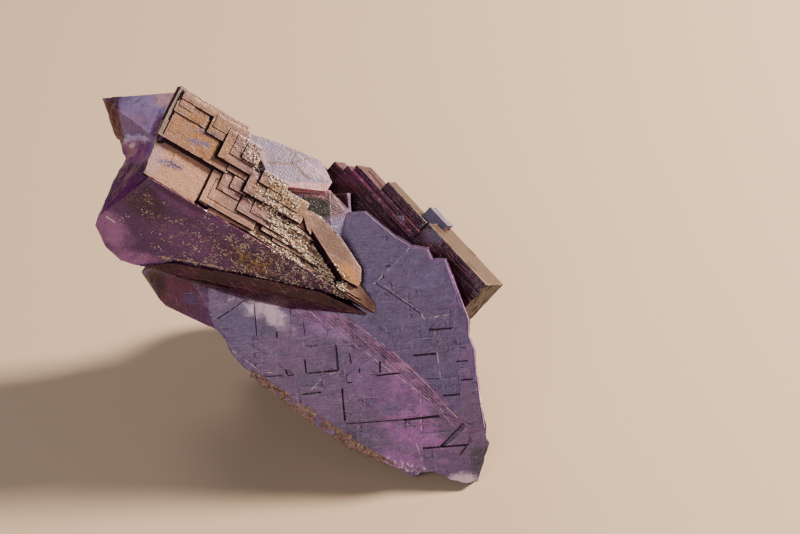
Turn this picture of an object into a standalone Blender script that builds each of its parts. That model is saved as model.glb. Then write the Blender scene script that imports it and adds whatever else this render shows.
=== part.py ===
"""A hand-sized cluster of intergrown fluorite crystals, as one solid.

The cluster is laid out upright, in millimetres: X to the right, Y away from the broad front face and
Z up. Each crystal has axes of its own: u along its face, v up the face and w straight out of it. At
the end the whole cluster leans back onto its broken underside, and millimetres become metres.
"""

import math
import random

import bmesh
import bpy
from mathutils import Matrix, Vector

NODE = "fluorite_cluster"
METRES_PER_MM = 0.001

# How far the broad face leans back from upright once the cluster rests on its underside, in degrees.
LEAN_BACK = 32.0
# The resting plane cuts the upright cluster at this height, measured at Y 0.
REST_HEIGHT = -24.5

# Crystal axes: where the corner of the face lies, then its turn, lean and spin in degrees.
STEPPED = ((-18.7, -20.0, 14.9), 25.8, 2.3, -28.0)
APRON = ((-18.7, -20.0, 14.9), 1.3, -36.5, -35.7)
BROAD = ((9.3, -6.0, -0.2), -6.0, -2.0, 5.0)
DARK = ((28.7, 3.0, 0.4), -22.2, 0.0, -45.0)

# How deep a raised plate is sunk into what it grows on, so that the two join.
ROOT = 1.37
# Points closer than this are one point, in millimetres.
WELD = 0.004

# The stepped crystal's lowest terrace, from its front left corner round by the tip to its left side.
STEPPED_OUTLINE = (
    (-0.8, 0.1), (7.1, -0.1), (7.4, 0.5), (9.2, 0.4), (9.4, -0.1), (15.7, 0.2), (25.0, -0.4),
    (37.4, -1.1), (36.6, 0.3), (33.2, 1.9), (32.4, 3.5), (28.0, 5.7), (23.6, 7.0), (17.0, 7.4),
    (13.4, 9.2), (9.8, 12.2), (4.9, 12.6), (1.6, 12.2), (-1.0, 12.4), (-1.4, 5.4),
)
STEPPED_TOP = -0.8
STEPPED_BACK = -7.5

# Terraces on it: u from, v from, u to, v to, height of the top.
STEPPED_TERRACES = (
    (-1.6, 5.5, 9.3, 12.7, -0.15),
    (-1.1, 9.3, 3.7, 12.35, 0.0),
    (-0.8, 10.3, 1.3, 12.3, 0.1),
    (-0.9, 11.25, 4.35, 12.15, 0.2),
    (4.2, 9.0, 9.7, 12.05, 0.1),
    (4.6, 10.1, 8.1, 11.9, 0.2),
    (6.95, 6.85, 12.2, 11.0, 0.32),
    (8.3, 8.0, 11.9, 10.9, 0.43),
    (9.95, 8.25, 12.35, 10.3, 0.62),
    (9.05, 5.95, 12.6, 7.4, -0.02),
    (7.55, 0.62, 16.1, 5.2, -0.52),
    (8.45, 1.5, 13.1, 4.3, -0.44),
    (9.02, 3.15, 12.45, 6.25, -0.3),
    (10.45, 4.1, 12.9, 5.8, -0.12),
    (12.72, 1.9, 20.6, 4.95, -0.25),
    (14.6, 2.6, 18.9, 4.75, -0.14),
    (17.1, 1.25, 24.1, 3.35, -0.41),
    (19.2, 0.75, 27.0, 2.2, -0.58),
    (12.28, 4.5, 21.6, 7.65, 0.25),
    (13.65, 6.62, 17.7, 8.45, 0.5),
    (15.2, 5.6, 20.4, 7.1, 0.38),
    (20.3, 3.4, 24.6, 5.2, -0.1),
)
# The long tan tongue that runs down to the tip, split from the terraces by a crack.
TONGUE = (
    (20.6, 6.6), (23.6, 6.9), (28.0, 5.6), (32.3, 3.4), (33.1, 1.8), (33.0, 0.9), (29.9, 0.9), (22.8, 4.3),
)
TONGUE_TOP = 0.25
TIP_PLATE = ((30.2, -0.5), (37.2, -1.0), (36.4, 0.2), (33.0, 1.4), (30.2, 0.2))
TIP_TOP = -0.2
CRACK = ((23.6, 3.9), (30.2, 0.4), (30.4, 0.9), (23.4, 4.6))
CRACK_DEPTH = 1.6

# The apron: the dark slope under the front edge. Here v runs up the slope to the edge.
APRON_OUTLINE = (
    (0.0, -0.6), (-1.4, -7.1), (-2.2, -9.3), (-1.6, -11.2), (1.5, -13.5), (4.3, -14.2), (6.6, -13.7),
    (10.3, -10.0), (14.9, -8.3), (19.2, -6.2), (25.1, -4.1), (29.0, -2.6), (36.8, -0.8),
)
APRON_TOP = -0.3
APRON_BACK = -6.0
APRON_NARROWING = 0.78

# Lumps given by their corners, upright and in millimetres.
END_BLOCK = (
    (-14.6, -17.6, 26.1), (-17.8, -19.0, 19.6), (-27.7, -1.0, 26.5), (-25.5, -2.0, 20.6),
    (-25.7, -4.0, 26.0), (-24.6, -5.0, 21.0), (-19.7, -15.0, 20.6),
    (-9.0, -6.0, 22.5), (-16.0, 4.0, 24.5), (-14.0, 4.5, 18.0), (-8.0, -2.0, 18.0),
)
SHOULDER = (
    (-18.1, -18.6, 18.6), (-19.2, -18.8, 14.4), (-23.6, -8.5, 17.6), (-24.4, -9.0, 16.1),
    (-25.2, -9.0, 14.3), (-25.5, -10.5, 12.0), (-24.1, -17.0, 10.9), (-25.9, -16.4, 9.8),
    (-25.4, -13.0, 5.8), (-14.0, -4.0, 20.0), (-14.0, 2.0, 18.0), (-16.0, 2.0, 8.0), (-8.0, -6.0, 10.0),
)
THROAT = (
    (-21.3, -11.3, 3.2), (-16.5, -11.7, 3.4), (-11.7, -10.7, 2.3), (-7.0, -10.1, 1.7), (-1.0, -8.9, 0.3),
    (3.1, -8.2, -0.5), (10.4, -5.6, -4.0), (6.0, -4.9, -3.6), (-1.4, -4.4, -2.8), (-7.5, -3.6, -1.6),
    (-13.2, -2.0, 1.2), (-18.5, -4.0, 4.0), (-20.0, 2.0, 8.0), (4.0, 4.0, 6.0), (-4.0, 6.0, 12.0),
)
PALE_BLOCK = (
    (-6.5, -12.0, 21.1), (-1.6, -10.0, 19.6), (1.3, -8.5, 18.1), (3.3, -7.0, 17.4), (4.8, -8.6, 14.5),
    (4.0, -9.3, 13.2), (-0.8, -12.0, 13.7), (-3.2, -13.0, 14.5), (-8.5, -2.0, 19.5), (4.0, 5.0, 15.0),
    (0.0, 6.0, 8.0), (-9.0, -6.0, 10.0),
)
SADDLE = (
    (-3.0, -12.2, 14.6), (4.5, -8.8, 13.4), (6.6, -6.3, 10.6), (3.2, -6.6, 8.8), (0.5, -10.0, 11.3),
    (5.0, -6.5, 2.0), (-2.0, -10.5, 8.0), (8.0, 4.0, 10.0), (-4.0, 4.0, 8.0), (4.0, 2.0, -2.0),
)
SMOKY_CRYSTAL = (
    (-23.2, 8.0, 2.2), (-21.9, 7.0, 1.2), (-20.5, 8.0, -1.8), (-19.6, 8.0, -2.7), (-18.2, 8.0, -3.0),
    (-16.9, 8.0, -1.9), (-15.2, 6.0, -2.9), (-13.2, 4.0, -4.3), (-10.5, 2.0, -6.6), (-17.7, 1.0, 4.6),
    (-20.0, 12.0, 3.0), (-12.0, 14.0, -2.0), (-8.0, 10.0, 8.0), (-18.0, 6.0, 9.0), (-8.0, 2.0, 2.0),
)

# The broad crystal: outline of its front face, clockwise from the corner under the tip.
BROAD_OUTLINE = (
    (-4.5, 10.5), (-3.4, 10.9), (1.0, 10.8), (2.4, 9.5), (4.9, 7.1), (6.9, 5.6), (9.2, 5.0),
    (9.7, 3.5), (11.5, 3.3), (12.4, 0.1), (13.3, -3.3), (13.9, -5.3), (13.7, -7.6), (14.3, -9.5),
    (14.3, -12.8), (14.5, -17.3), (14.8, -19.8), (14.7, -21.8), (15.1, -22.4), (14.3, -24.3),
    (13.5, -26.5), (13.0, -27.7), (11.8, -27.9), (9.9, -27.4), (9.0, -27.2), (8.4, -26.5),
    (6.2, -25.8), (5.2, -25.9), (4.4, -26.3), (3.4, -26.1), (2.0, -25.0), (0.5, -24.3),
    (-1.5, -22.3), (-3.4, -21.9), (-5.4, -20.2), (-7.5, -19.4), (-8.8, -18.3), (-9.4, -16.9),
    (-11.2, -15.6), (-12.9, -14.4), (-14.4, -13.0), (-15.7, -11.4), (-18.1, -9.5), (-20.0, -6.9),
    (-20.4, -5.3), (-21.7, -3.5), (-22.4, -2.0), (-22.2, 1.9), (-16.0, 6.0),
)
BROAD_LOW = -1.2
BROAD_BACK = -22.0
BROAD_NARROWING = 0.97
BROAD_DRIFT = (-2.1, -1.4)
# Its upper right half stands proud. A flight of narrow ledges leads up to it along this line.
LEDGE_LINE = (
    (-9.6, -1.5), (-3.6, -3.5), (1.9, -8.0), (5.8, -11.6), (9.5, -16.0), (11.0, -18.4), (12.6, -19.8),
)
# The rest of the raised half's outline.
RAISED_SIDES = (
    (14.6, -20.3), (14.4, -17.3), (14.15, -12.8), (14.15, -9.4), (13.55, -7.5), (13.75, -5.3),
    (13.15, -3.2), (12.2, 0.1), (11.3, 3.1), (9.5, 3.3), (9.0, 4.8), (6.7, 5.4), (4.7, 6.9),
    (2.2, 9.3), (0.9, 10.6), (-3.3, 10.7), (-4.3, 10.2),
)
# How far each ledge reaches out beyond that line, and how high it stands.
LEDGES = ((0.0, 0.0), (0.4, -0.25), (0.75, -0.5), (1.15, -0.75), (1.5, -0.95))
# Each ledge stays this much further inside the sides than the one above.
LEDGE_INSET = 0.07

# The plate on its right: a corner pointing left, both edges along cleavage traces.
SHIELD = (
    (1.6, 1.1), (6.5, 5.3), (8.9, 4.7), (9.4, 3.2), (11.2, 3.0), (12.1, -0.1), (12.9, -3.4), (7.6, -3.8),
)
SHIELD_TOP = 0.35
# Small plates on the broad face: u from, v from, u to, v to, height of the top.
BROAD_PLATES = (
    (8.2, -6.1, 11.3, -3.4, 0.25),
    (5.8, -9.4, 9.0, -7.2, 0.25),
    (9.0, -9.4, 10.6, -7.9, 0.12),
    (9.3, -15.2, 11.6, -12.9, 0.25),
    (11.7, -13.3, 13.7, -11.7, 0.2),
    (11.5, -10.7, 13.4, -8.6, 0.2),
    (-9.3, -10.7, -5.1, -7.1, -0.95),
    (-12.9, -5.6, -9.2, -3.0, -0.95),
    (-15.7, -4.7, -10.9, 0.0, -0.85),
    (5.5, -22.3, 12.4, -20.4, -0.95),
    (-10.4, -13.5, -7.2, -12.6, -0.98),
)
# A sheet low on the broad face, with a straight foot and a notch in its left side.
LOW_SHEET = (
    (-4.5, -18.1), (3.9, -18.2), (8.9, -18.0), (7.6, -15.6), (4.0, -12.2), (0.2, -9.2), (-3.9, -11.8),
    (-3.8, -13.4), (-4.5, -13.5),
)
LOW_SHEET_TOP = -0.95
# An open diagonal crack near the foot.
FOOT_CRACK = ((8.2, -22.3), (8.7, -22.5), (12.1, -19.8), (11.7, -19.3))

# The dark crystals behind: bars in steps, u from, v from, w from, u to, v to, w to.
DARK_BARS = (
    (-12.2, -10.0, 0.0, 0.0, 0.0, 7.0),
    (-14.8, -9.0, 1.4, -10.9, 0.9, 3.6),
    (-21.6, -9.0, 1.6, -13.2, -0.8, 4.6),
    (-27.0, -11.0, 1.4, -20.0, -2.7, 4.0),
    (-26.2, -10.0, 1.0, -12.6, -2.2, 5.7),
    (-26.9, -11.5, 1.0, -11.6, -2.9, 7.1),
    (-29.4, -12.0, 1.4, -26.0, -4.4, 5.2),
    (-31.5, -13.0, 1.6, -28.4, -6.9, 6.0),
    (-28.5, -16.0, -4.0, -3.0, -6.2, 4.4),
    (-22.0, -18.0, -7.5, -6.0, -9.5, 2.0),
)

# Hidden crystals that close the back and the foot, in the broad crystal's axes.
REAR_BLOCKS = (
    (-18.6, -0.6, -21.0, -2.1, 13.5, -6.2),
    (-14.2, -13.0, -33.5, 3.4, 4.6, -10.1),
    (-4.1, -17.5, -30.3, 9.3, 6.4, -8.0),
    (-9.6, -3.2, -25.1, 5.2, 9.7, -9.3),
    (-22.5, 7.3, -17.0, -12.4, 18.4, -2.2),
    (2.2, -11.1, -27.2, 11.1, 2.3, -8.5),
)

# Corners of the hidden crystals that have split off along cleavage, as fluorite does: where the corner
# lies in the broad crystal's axes, which way it points, and how much is gone.
CLEAVED_CORNERS = (
    ((3.4, 4.6, -33.5), (1, 1, -1), 4.1),
    ((9.3, 6.4, -30.3), (1, 1, -1), 2.6),
    ((-18.6, 13.5, -21.0), (-1, 1, -1), 3.3),
    ((-22.5, 18.4, -17.0), (-1, 1, -1), 2.2),
    ((-14.2, 4.6, -33.5), (-1, 1, -1), 2.9),
)
# How far each corner's cutter reaches out past the corner.
CORNER_CLEARANCE = 0.5
# Cleavage steps broken into the underside, in the broad crystal's axes: two opposite corners each.
UNDERSIDE_STEPS = (
    ((-2.1, -40.0, -13.3), (6.2, -18.9, -9.1)),
    ((5.4, -40.0, -9.4), (12.3, -22.6, -5.4)),
    ((-2.3, -40.0, -20.9), (5.9, -13.9, -17.2)),
)
# How far the cracks' cutters reach out of the faces they open.
CRACK_REACH = 2.0
FOOT_CRACK_LOW = -2.2

# Grains of matrix along the broad crystal's lower left rim: the line they follow on its face, how many,
# the smallest and largest radius, and how deep their middles lie.
MATRIX_LINE = ((-16.7, -10.5), (-9.7, -16.5), (-3.7, -21.2))
MATRIX_GRAINS = 15
MATRIX_RADII = (0.75, 1.25)
MATRIX_DEPTH = -1.75
GRAIN_CORNERS = 9
MATRIX_SEED = 11

# The block taken away below the resting plane is a cube of this size.
UNDERSIDE_SIZE = 200.0


def crystal_axes(crystal):
    """The matrix that carries a crystal's own u, v, w to upright millimetres."""
    corner, turn, lean, spin = crystal
    upright = Matrix(((1.0, 0.0, 0.0), (0.0, 0.0, -1.0), (0.0, 1.0, 0.0))).to_4x4()
    turned = Matrix.Rotation(math.radians(turn), 4, "Z")
    leaned = Matrix.Rotation(math.radians(-lean), 4, "X")
    spun = Matrix.Rotation(math.radians(-spin), 4, "Y")
    return Matrix.Translation(corner) @ turned @ leaned @ spun @ upright


def add_solid(collection, name, solid):
    """Puts a finished bmesh into the collection as an object with its faces out, and frees it."""
    bmesh.ops.recalc_face_normals(solid, faces=solid.faces)
    if solid.calc_volume(signed=True) < 0.0:
        bmesh.ops.reverse_faces(solid, faces=solid.faces)
    bmesh.ops.triangulate(solid, faces=solid.faces)
    mesh = bpy.data.meshes.new(name)
    solid.to_mesh(mesh)
    solid.free()
    collection.objects.link(bpy.data.objects.new(name, mesh))


def add_prism(collection, name, crystal, outline, low, high, narrowing=1.0, drift=(0.0, 0.0)):
    """A slab with a drawn outline, from one height to another, its low end narrowed and moved by drift."""
    solid = bmesh.new()
    corners = [solid.verts.new((u, v, low)) for u, v in outline]
    floor = solid.faces.new(corners)
    grown = bmesh.ops.extrude_face_region(solid, geom=[floor])["geom"]
    raised = [part for part in grown if isinstance(part, bmesh.types.BMVert)]
    bmesh.ops.translate(solid, verts=raised, vec=(0.0, 0.0, high - low))
    bmesh.ops.scale(solid, verts=corners, vec=(narrowing, narrowing, 1.0))
    bmesh.ops.translate(solid, verts=corners, vec=(*drift, 0.0))
    solid.transform(crystal_axes(crystal))
    add_solid(collection, name, solid)


def add_block(collection, name, crystal, lowest, highest):
    """A cube-sided block between two corners, in a crystal's own axes."""
    (u0, v0, w0), (u1, v1, w1) = lowest, highest
    outline = ((u0, v0), (u1, v0), (u1, v1), (u0, v1))
    add_prism(collection, name, crystal, outline, w0, w1)


def add_lump(collection, name, corners):
    """The convex solid that spans a few corners given upright in millimetres."""
    solid = bmesh.new()
    for corner in corners:
        solid.verts.new(corner)
    hull = bmesh.ops.convex_hull(solid, input=solid.verts)
    loose = [part for part in hull["geom_interior"] if isinstance(part, bmesh.types.BMVert)]
    bmesh.ops.delete(solid, geom=loose, context="VERTS")
    add_solid(collection, name, solid)


def combine(cluster, parts, operation):
    """Joins a collection's solids to the cluster one by one, or takes them away from it."""
    for part in list(parts.objects):
        step = cluster.modifiers.new("combine", "BOOLEAN")
        step.operation = operation
        step.object = part
        step.solver = "EXACT"
        bpy.context.view_layer.update()
        graph = bpy.context.evaluated_depsgraph_get()
        mesh = bpy.data.meshes.new_from_object(cluster.evaluated_get(graph))
        cluster.modifiers.clear()
        cluster.data = mesh
        bpy.data.objects.remove(part)
    bpy.data.collections.remove(parts)


def new_parts(name):
    """An empty collection for solids that are about to be combined."""
    parts = bpy.data.collections.new(name)
    bpy.context.scene.collection.children.link(parts)
    return parts


def grow_stepped_crystal(parts):
    """The terraced crystal at the upper left, with its end block, apron and tongue."""
    add_prism(parts, "stepped_slab", STEPPED, STEPPED_OUTLINE, STEPPED_BACK, STEPPED_TOP)
    for number, (u0, v0, u1, v1, top) in enumerate(STEPPED_TERRACES):
        add_block(parts, f"terrace_{number}", STEPPED, (u0, v0, top - ROOT), (u1, v1, top))
    add_prism(parts, "tongue", STEPPED, TONGUE, TONGUE_TOP - ROOT, TONGUE_TOP)
    add_prism(parts, "tip_plate", STEPPED, TIP_PLATE, TIP_TOP - ROOT, TIP_TOP)
    add_prism(parts, "apron", APRON, APRON_OUTLINE, APRON_BACK, APRON_TOP, APRON_NARROWING)
    add_lump(parts, "end_block", END_BLOCK)
    add_lump(parts, "shoulder", SHOULDER)
    add_lump(parts, "throat", THROAT)


def grow_pale_crystal(parts):
    """The pale block at the top, and the saddle that joins it to the rest."""
    add_lump(parts, "pale_block", PALE_BLOCK)
    add_lump(parts, "saddle", SADDLE)


def grow_broad_crystal(parts):
    """The broad front crystal with its raised half, ledges and plates."""
    add_prism(
        parts, "broad_slab", BROAD, BROAD_OUTLINE, BROAD_BACK, BROAD_LOW, BROAD_NARROWING, BROAD_DRIFT
    )
    for number, (reach, height) in enumerate(LEDGES):
        inset = number * LEDGE_INSET
        outline = [(u - reach, v - reach) for u, v in LEDGE_LINE]
        outline += [(u - inset, v - inset) for u, v in RAISED_SIDES]
        add_prism(parts, f"ledge_{number}", BROAD, outline, height - ROOT, height)
    add_prism(parts, "shield", BROAD, SHIELD, SHIELD_TOP - ROOT, SHIELD_TOP)
    add_prism(parts, "low_sheet", BROAD, LOW_SHEET, LOW_SHEET_TOP - ROOT, LOW_SHEET_TOP)
    for number, (u0, v0, u1, v1, top) in enumerate(BROAD_PLATES):
        add_block(parts, f"plate_{number}", BROAD, (u0, v0, top - ROOT), (u1, v1, top))


def grain_middles():
    """Evenly spaced points along the matrix line, in the broad crystal's axes."""
    line = [Vector(point) for point in MATRIX_LINE]
    lengths = [(b - a).length for a, b in zip(line, line[1:])]
    for number in range(MATRIX_GRAINS):
        along = sum(lengths) * number / (MATRIX_GRAINS - 1)
        piece = 0 if along <= lengths[0] else 1
        share = (along - piece * lengths[0]) / lengths[piece]
        u, v = line[piece].lerp(line[piece + 1], share)
        yield Vector((u, v, MATRIX_DEPTH))


def grow_matrix(parts):
    """Angular grains of matrix that cling to the broad crystal's lower left rim."""
    chance = random.Random(MATRIX_SEED)
    axes = crystal_axes(BROAD)
    for number, middle in enumerate(grain_middles()):
        radius = chance.uniform(*MATRIX_RADII)
        corners = []
        for _ in range(GRAIN_CORNERS):
            away = Vector([chance.gauss(0.0, 1.0) for _ in range(3)]).normalized()
            corners.append(axes @ (middle + radius * away))
        add_lump(parts, f"grain_{number}", corners)


def grow_dark_crystals(parts):
    """The dark bars behind, in steps along one direction."""
    for number, (u0, v0, w0, u1, v1, w1) in enumerate(DARK_BARS):
        add_block(parts, f"bar_{number}", DARK, (u0, v0, w0), (u1, v1, w1))


def grow_rear(parts):
    """The small smoky crystal at the foot and the hidden crystals that close the back."""
    add_lump(parts, "smoky_crystal", SMOKY_CRYSTAL)
    for number, (u0, v0, w0, u1, v1, w1) in enumerate(REAR_BLOCKS):
        add_block(parts, f"rear_{number}", BROAD, (u0, v0, w0), (u1, v1, w1))


def cut_cracks(cuts):
    """The open crack between the terraces and the tongue, and the one near the foot."""
    add_prism(cuts, "crack", STEPPED, CRACK, -CRACK_DEPTH, CRACK_REACH)
    add_prism(cuts, "foot_crack", BROAD, FOOT_CRACK, FOOT_CRACK_LOW, CRACK_REACH)


def cleave_corners(cuts):
    """Splits corners off the hidden crystals, each along a plane that faces the corner squarely."""
    axes = crystal_axes(BROAD)
    for number, (corner, points, gone) in enumerate(CLEAVED_CORNERS):
        apex = Vector(corner) + CORNER_CLEARANCE * Vector(points)
        leg = gone + 3.0 * CORNER_CLEARANCE
        tips = [apex - leg * Vector([points[a] * (a == b) for a in range(3)]) for b in range(3)]
        add_lump(cuts, f"cleft_{number}", [axes @ tip for tip in (apex, *tips)])


def break_underside(cuts):
    """Breaks square-sided cleavage steps into the underside."""
    for number, (lowest, highest) in enumerate(UNDERSIDE_STEPS):
        add_block(cuts, f"step_{number}", BROAD, lowest, highest)


def cut_underside(cuts):
    """Everything below the plane that the cluster rests on."""
    solid = bmesh.new()
    bmesh.ops.create_cube(solid, size=UNDERSIDE_SIZE)
    solid.transform(
        Matrix.Translation((0.0, 0.0, REST_HEIGHT))
        @ Matrix.Rotation(math.radians(LEAN_BACK), 4, "X")
        @ Matrix.Translation((0.0, 0.0, -UNDERSIDE_SIZE / 2.0))
    )
    add_solid(cuts, "underside", solid)


def tidy_surface(cluster):
    """Welds points that coincide, drops slivers and leaves plain triangles."""
    solid = bmesh.new()
    solid.from_mesh(cluster.data)
    bmesh.ops.remove_doubles(solid, verts=solid.verts, dist=WELD)
    bmesh.ops.dissolve_degenerate(solid, dist=WELD, edges=solid.edges)
    bmesh.ops.triangulate(solid, faces=solid.faces)
    solid.to_mesh(cluster.data)
    solid.free()


def upright_cluster():
    """All crystals as one solid, upright and in millimetres."""
    parts = new_parts("growth")
    grow_stepped_crystal(parts)
    grow_pale_crystal(parts)
    grow_broad_crystal(parts)
    grow_matrix(parts)
    grow_dark_crystals(parts)
    grow_rear(parts)
    cluster = parts.objects[0]
    cluster.name = NODE
    parts.objects.unlink(cluster)
    bpy.context.scene.collection.objects.link(cluster)
    combine(cluster, parts, "UNION")
    cuts = new_parts("cuts")
    cut_cracks(cuts)
    cleave_corners(cuts)
    break_underside(cuts)
    cut_underside(cuts)
    combine(cluster, cuts, "DIFFERENCE")
    tidy_surface(cluster)
    return cluster


def set_down(cluster):
    """Leans the cluster back onto its underside, in metres, with the origin under its middle."""
    mesh = cluster.data
    mesh.transform(Matrix.Rotation(math.radians(-LEAN_BACK), 4, "X"))
    lows = [min(vertex.co[axis] for vertex in mesh.vertices) for axis in range(3)]
    highs = [max(vertex.co[axis] for vertex in mesh.vertices) for axis in range(3)]
    middle = Vector(((lows[0] + highs[0]) / 2.0, (lows[1] + highs[1]) / 2.0, lows[2]))
    mesh.transform(Matrix.Scale(METRES_PER_MM, 4) @ Matrix.Translation(-middle))
    return middle


def dress(cluster):
    """Gives the cluster a violet, slightly glossy material."""
    fluorite = bpy.data.materials.new("violet_fluorite")
    fluorite.use_nodes = True
    shader = fluorite.node_tree.nodes["Principled BSDF"]
    shader.inputs["Base Color"].default_value = (0.10, 0.06, 0.17, 1.0)
    shader.inputs["Roughness"].default_value = 0.35
    shader.inputs["IOR"].default_value = 1.434
    cluster.data.materials.clear()
    cluster.data.materials.append(fluorite)


def main():
    for thing in list(bpy.data.objects):
        bpy.data.objects.remove(thing)
    cluster = upright_cluster()
    set_down(cluster)
    dress(cluster)


main()
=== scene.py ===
"""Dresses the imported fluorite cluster: fine relief, crystal film, druse, matrix, light and camera.

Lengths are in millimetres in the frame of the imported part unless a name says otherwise. Finished
meshes are scaled to metres as they are made.
"""

import logging
import math
import random
from collections import defaultdict
from dataclasses import dataclass, field
from enum import Enum
from functools import reduce
from typing import Iterable, Iterator, Sequence

import bmesh
import bpy
import numpy as np
from mathutils import Matrix, Vector, noise
from mathutils.bvhtree import BVHTree
from mathutils.geometry import delaunay_2d_cdt, intersect_point_line

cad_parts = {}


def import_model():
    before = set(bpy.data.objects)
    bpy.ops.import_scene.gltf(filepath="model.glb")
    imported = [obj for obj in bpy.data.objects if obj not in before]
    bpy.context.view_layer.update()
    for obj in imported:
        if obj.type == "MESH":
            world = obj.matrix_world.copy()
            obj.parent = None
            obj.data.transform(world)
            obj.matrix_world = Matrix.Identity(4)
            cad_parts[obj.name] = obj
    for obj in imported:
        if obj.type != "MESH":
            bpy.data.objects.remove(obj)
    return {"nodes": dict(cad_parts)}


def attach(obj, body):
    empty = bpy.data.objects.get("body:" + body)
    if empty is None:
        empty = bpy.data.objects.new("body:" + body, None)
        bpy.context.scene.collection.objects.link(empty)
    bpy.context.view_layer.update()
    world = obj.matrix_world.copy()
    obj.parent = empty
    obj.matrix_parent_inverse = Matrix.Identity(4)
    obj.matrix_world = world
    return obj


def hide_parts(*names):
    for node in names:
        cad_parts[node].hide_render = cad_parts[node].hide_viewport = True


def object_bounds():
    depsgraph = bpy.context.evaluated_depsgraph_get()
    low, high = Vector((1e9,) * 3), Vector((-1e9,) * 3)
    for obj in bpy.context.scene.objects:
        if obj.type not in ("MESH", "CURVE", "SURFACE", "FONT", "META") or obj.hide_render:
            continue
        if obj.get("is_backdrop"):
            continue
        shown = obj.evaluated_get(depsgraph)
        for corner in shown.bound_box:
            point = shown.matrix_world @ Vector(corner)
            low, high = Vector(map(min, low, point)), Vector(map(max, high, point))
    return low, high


NODE = "fluorite_cluster"
BODY = "root"
METRES = 0.001

# The cluster grew upright, leaned back by this angle and was then moved by this step.
LEAN_BACK = 32.0
SET_DOWN = Vector((-0.5, -3.8448, 20.7772))

Colour = tuple[float, float, float]
Socket = bpy.types.NodeSocket
Pair = tuple[float, float]

log = logging.getLogger("fluorite")


def shade(red: int, green: int, blue: int, depth: float = 0.80) -> Colour:
    """Turns a colour given in screen steps of 0 to 255 into a linear reflectance.

    The soft view transform pales colours, so they are deepened a little here.

    Args:
        red: Red step.
        green: Green step.
        blue: Blue step.
        depth: How much darker the colour gets.

    Returns:
        The three linear values.
    """
    vividness, least, most = 1.55, 0.004, 0.92
    steps = (red / 255.0, green / 255.0, blue / 255.0)
    linear = [s / 12.92 if s <= 0.04045 else ((s + 0.055) / 1.055) ** 2.4 for s in steps]
    grey = sum(linear) / 3.0
    return tuple(min(max(depth * (grey + (value - grey) * vividness), least), most) for value in linear)


def glassy(red: int, green: int, blue: int) -> Colour:
    """A colour of the glassy stone, which the main light hardly reaches, so it is not deepened."""
    return shade(red, green, blue, 1.22)


def add_to_scene(name: str, data: bpy.types.ID) -> bpy.types.Object:
    """Links a new object that holds the data to the scene, and returns it.

    Args:
        name: The object's name.
        data: What it holds.

    Returns:
        The object.
    """
    made = bpy.data.objects.new(name, data)
    bpy.context.scene.collection.objects.link(made)
    return made


def growth_to_part() -> Matrix:
    """Matrix from the upright growth frame to the part's frame, both in millimetres."""
    return Matrix.Translation(SET_DOWN) @ Matrix.Rotation(math.radians(-LEAN_BACK), 4, "X")


@dataclass(frozen=True)
class CrystalAxes:
    """One crystal's own axes: u along its face, v up the face and w straight out of it."""

    corner: tuple[float, float, float]
    turn: float
    lean: float
    spin: float

    def matrix(self) -> Matrix:
        """Matrix from the crystal's u, v, w to the part's frame, in millimetres.

        Returns:
            The matrix.
        """
        upright = Matrix(((1.0, 0.0, 0.0), (0.0, 0.0, -1.0), (0.0, 1.0, 0.0))).to_4x4()
        turned = Matrix.Rotation(math.radians(self.turn), 4, "Z")
        leaned = Matrix.Rotation(math.radians(-self.lean), 4, "X")
        spun = Matrix.Rotation(math.radians(-self.spin), 4, "Y")
        return growth_to_part() @ Matrix.Translation(self.corner) @ turned @ leaned @ spun @ upright

    def point(self, u: float, v: float, w: float) -> Vector:
        """The part's point at u, v, w."""
        return self.matrix() @ Vector((u, v, w))

    def axis(self, index: int) -> Vector:
        """The part's direction of u (0), v (1) or w (2)."""
        return self.matrix().to_3x3().col[index].copy()


STEPPED = CrystalAxes((-18.7, -20.0, 14.9), 25.8, 2.3, -28.0)
APRON = CrystalAxes((-18.7, -20.0, 14.9), 1.3, -36.5, -35.7)
BROAD = CrystalAxes((9.3, -6.0, -0.2), -6.0, -2.0, 5.0)
DARK = CrystalAxes((28.7, 3.0, 0.4), -22.2, 0.0, -45.0)
# The upright growth frame seen from the front: u to the right, v up and w towards the viewer.
UPRIGHT = CrystalAxes((0.0, 0.0, 0.0), 0.0, 0.0, 0.0)
# The line of brown matrix along the broad face's rim, in that face's u and v.
MATRIX_LINE: tuple[Pair, ...] = ((-17.4, -9.9), (-9.7, -16.5), (-3.4, -21.5), (1.8, -24.9))


@dataclass(frozen=True)
class Box:
    """An oblong of space in some axes: its least and greatest x, y and z."""

    x: Pair = (-math.inf, math.inf)
    y: Pair = (-math.inf, math.inf)
    z: Pair = (-math.inf, math.inf)

    def holds(self, point: Vector) -> bool:
        """Whether a point lies inside."""
        sides = (self.x, self.y, self.z)
        return all(low < value < high for value, (low, high) in zip(point, sides))


class Skin(Enum):
    """The kinds of surface on the cluster, in the order of its material slots."""

    FILM = 0
    VIOLET = 1
    GLASS = 2
    APRON = 3
    FROST = 4
    BROKEN = 5
    MATRIX = 6
    SEAM = 7


# How deep each kind of surface is pitted, in millimetres, and the size of its pits.
ROUGHNESS: dict[Skin, Pair] = {
    Skin.FILM: (0.012, 1.4),
    Skin.VIOLET: (0.018, 2.2),
    Skin.GLASS: (0.02, 1.6),
    Skin.APRON: (0.10, 0.9),
    Skin.FROST: (0.07, 1.1),
    Skin.BROKEN: (0.30, 1.3),
    Skin.MATRIX: (0.16, 0.5),
    Skin.SEAM: (0.01, 1.4),
}
# What the side walls of a raised plate show, for each kind of surface.
WALLS: dict[Skin, Skin] = {Skin.FILM: Skin.GLASS}
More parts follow.
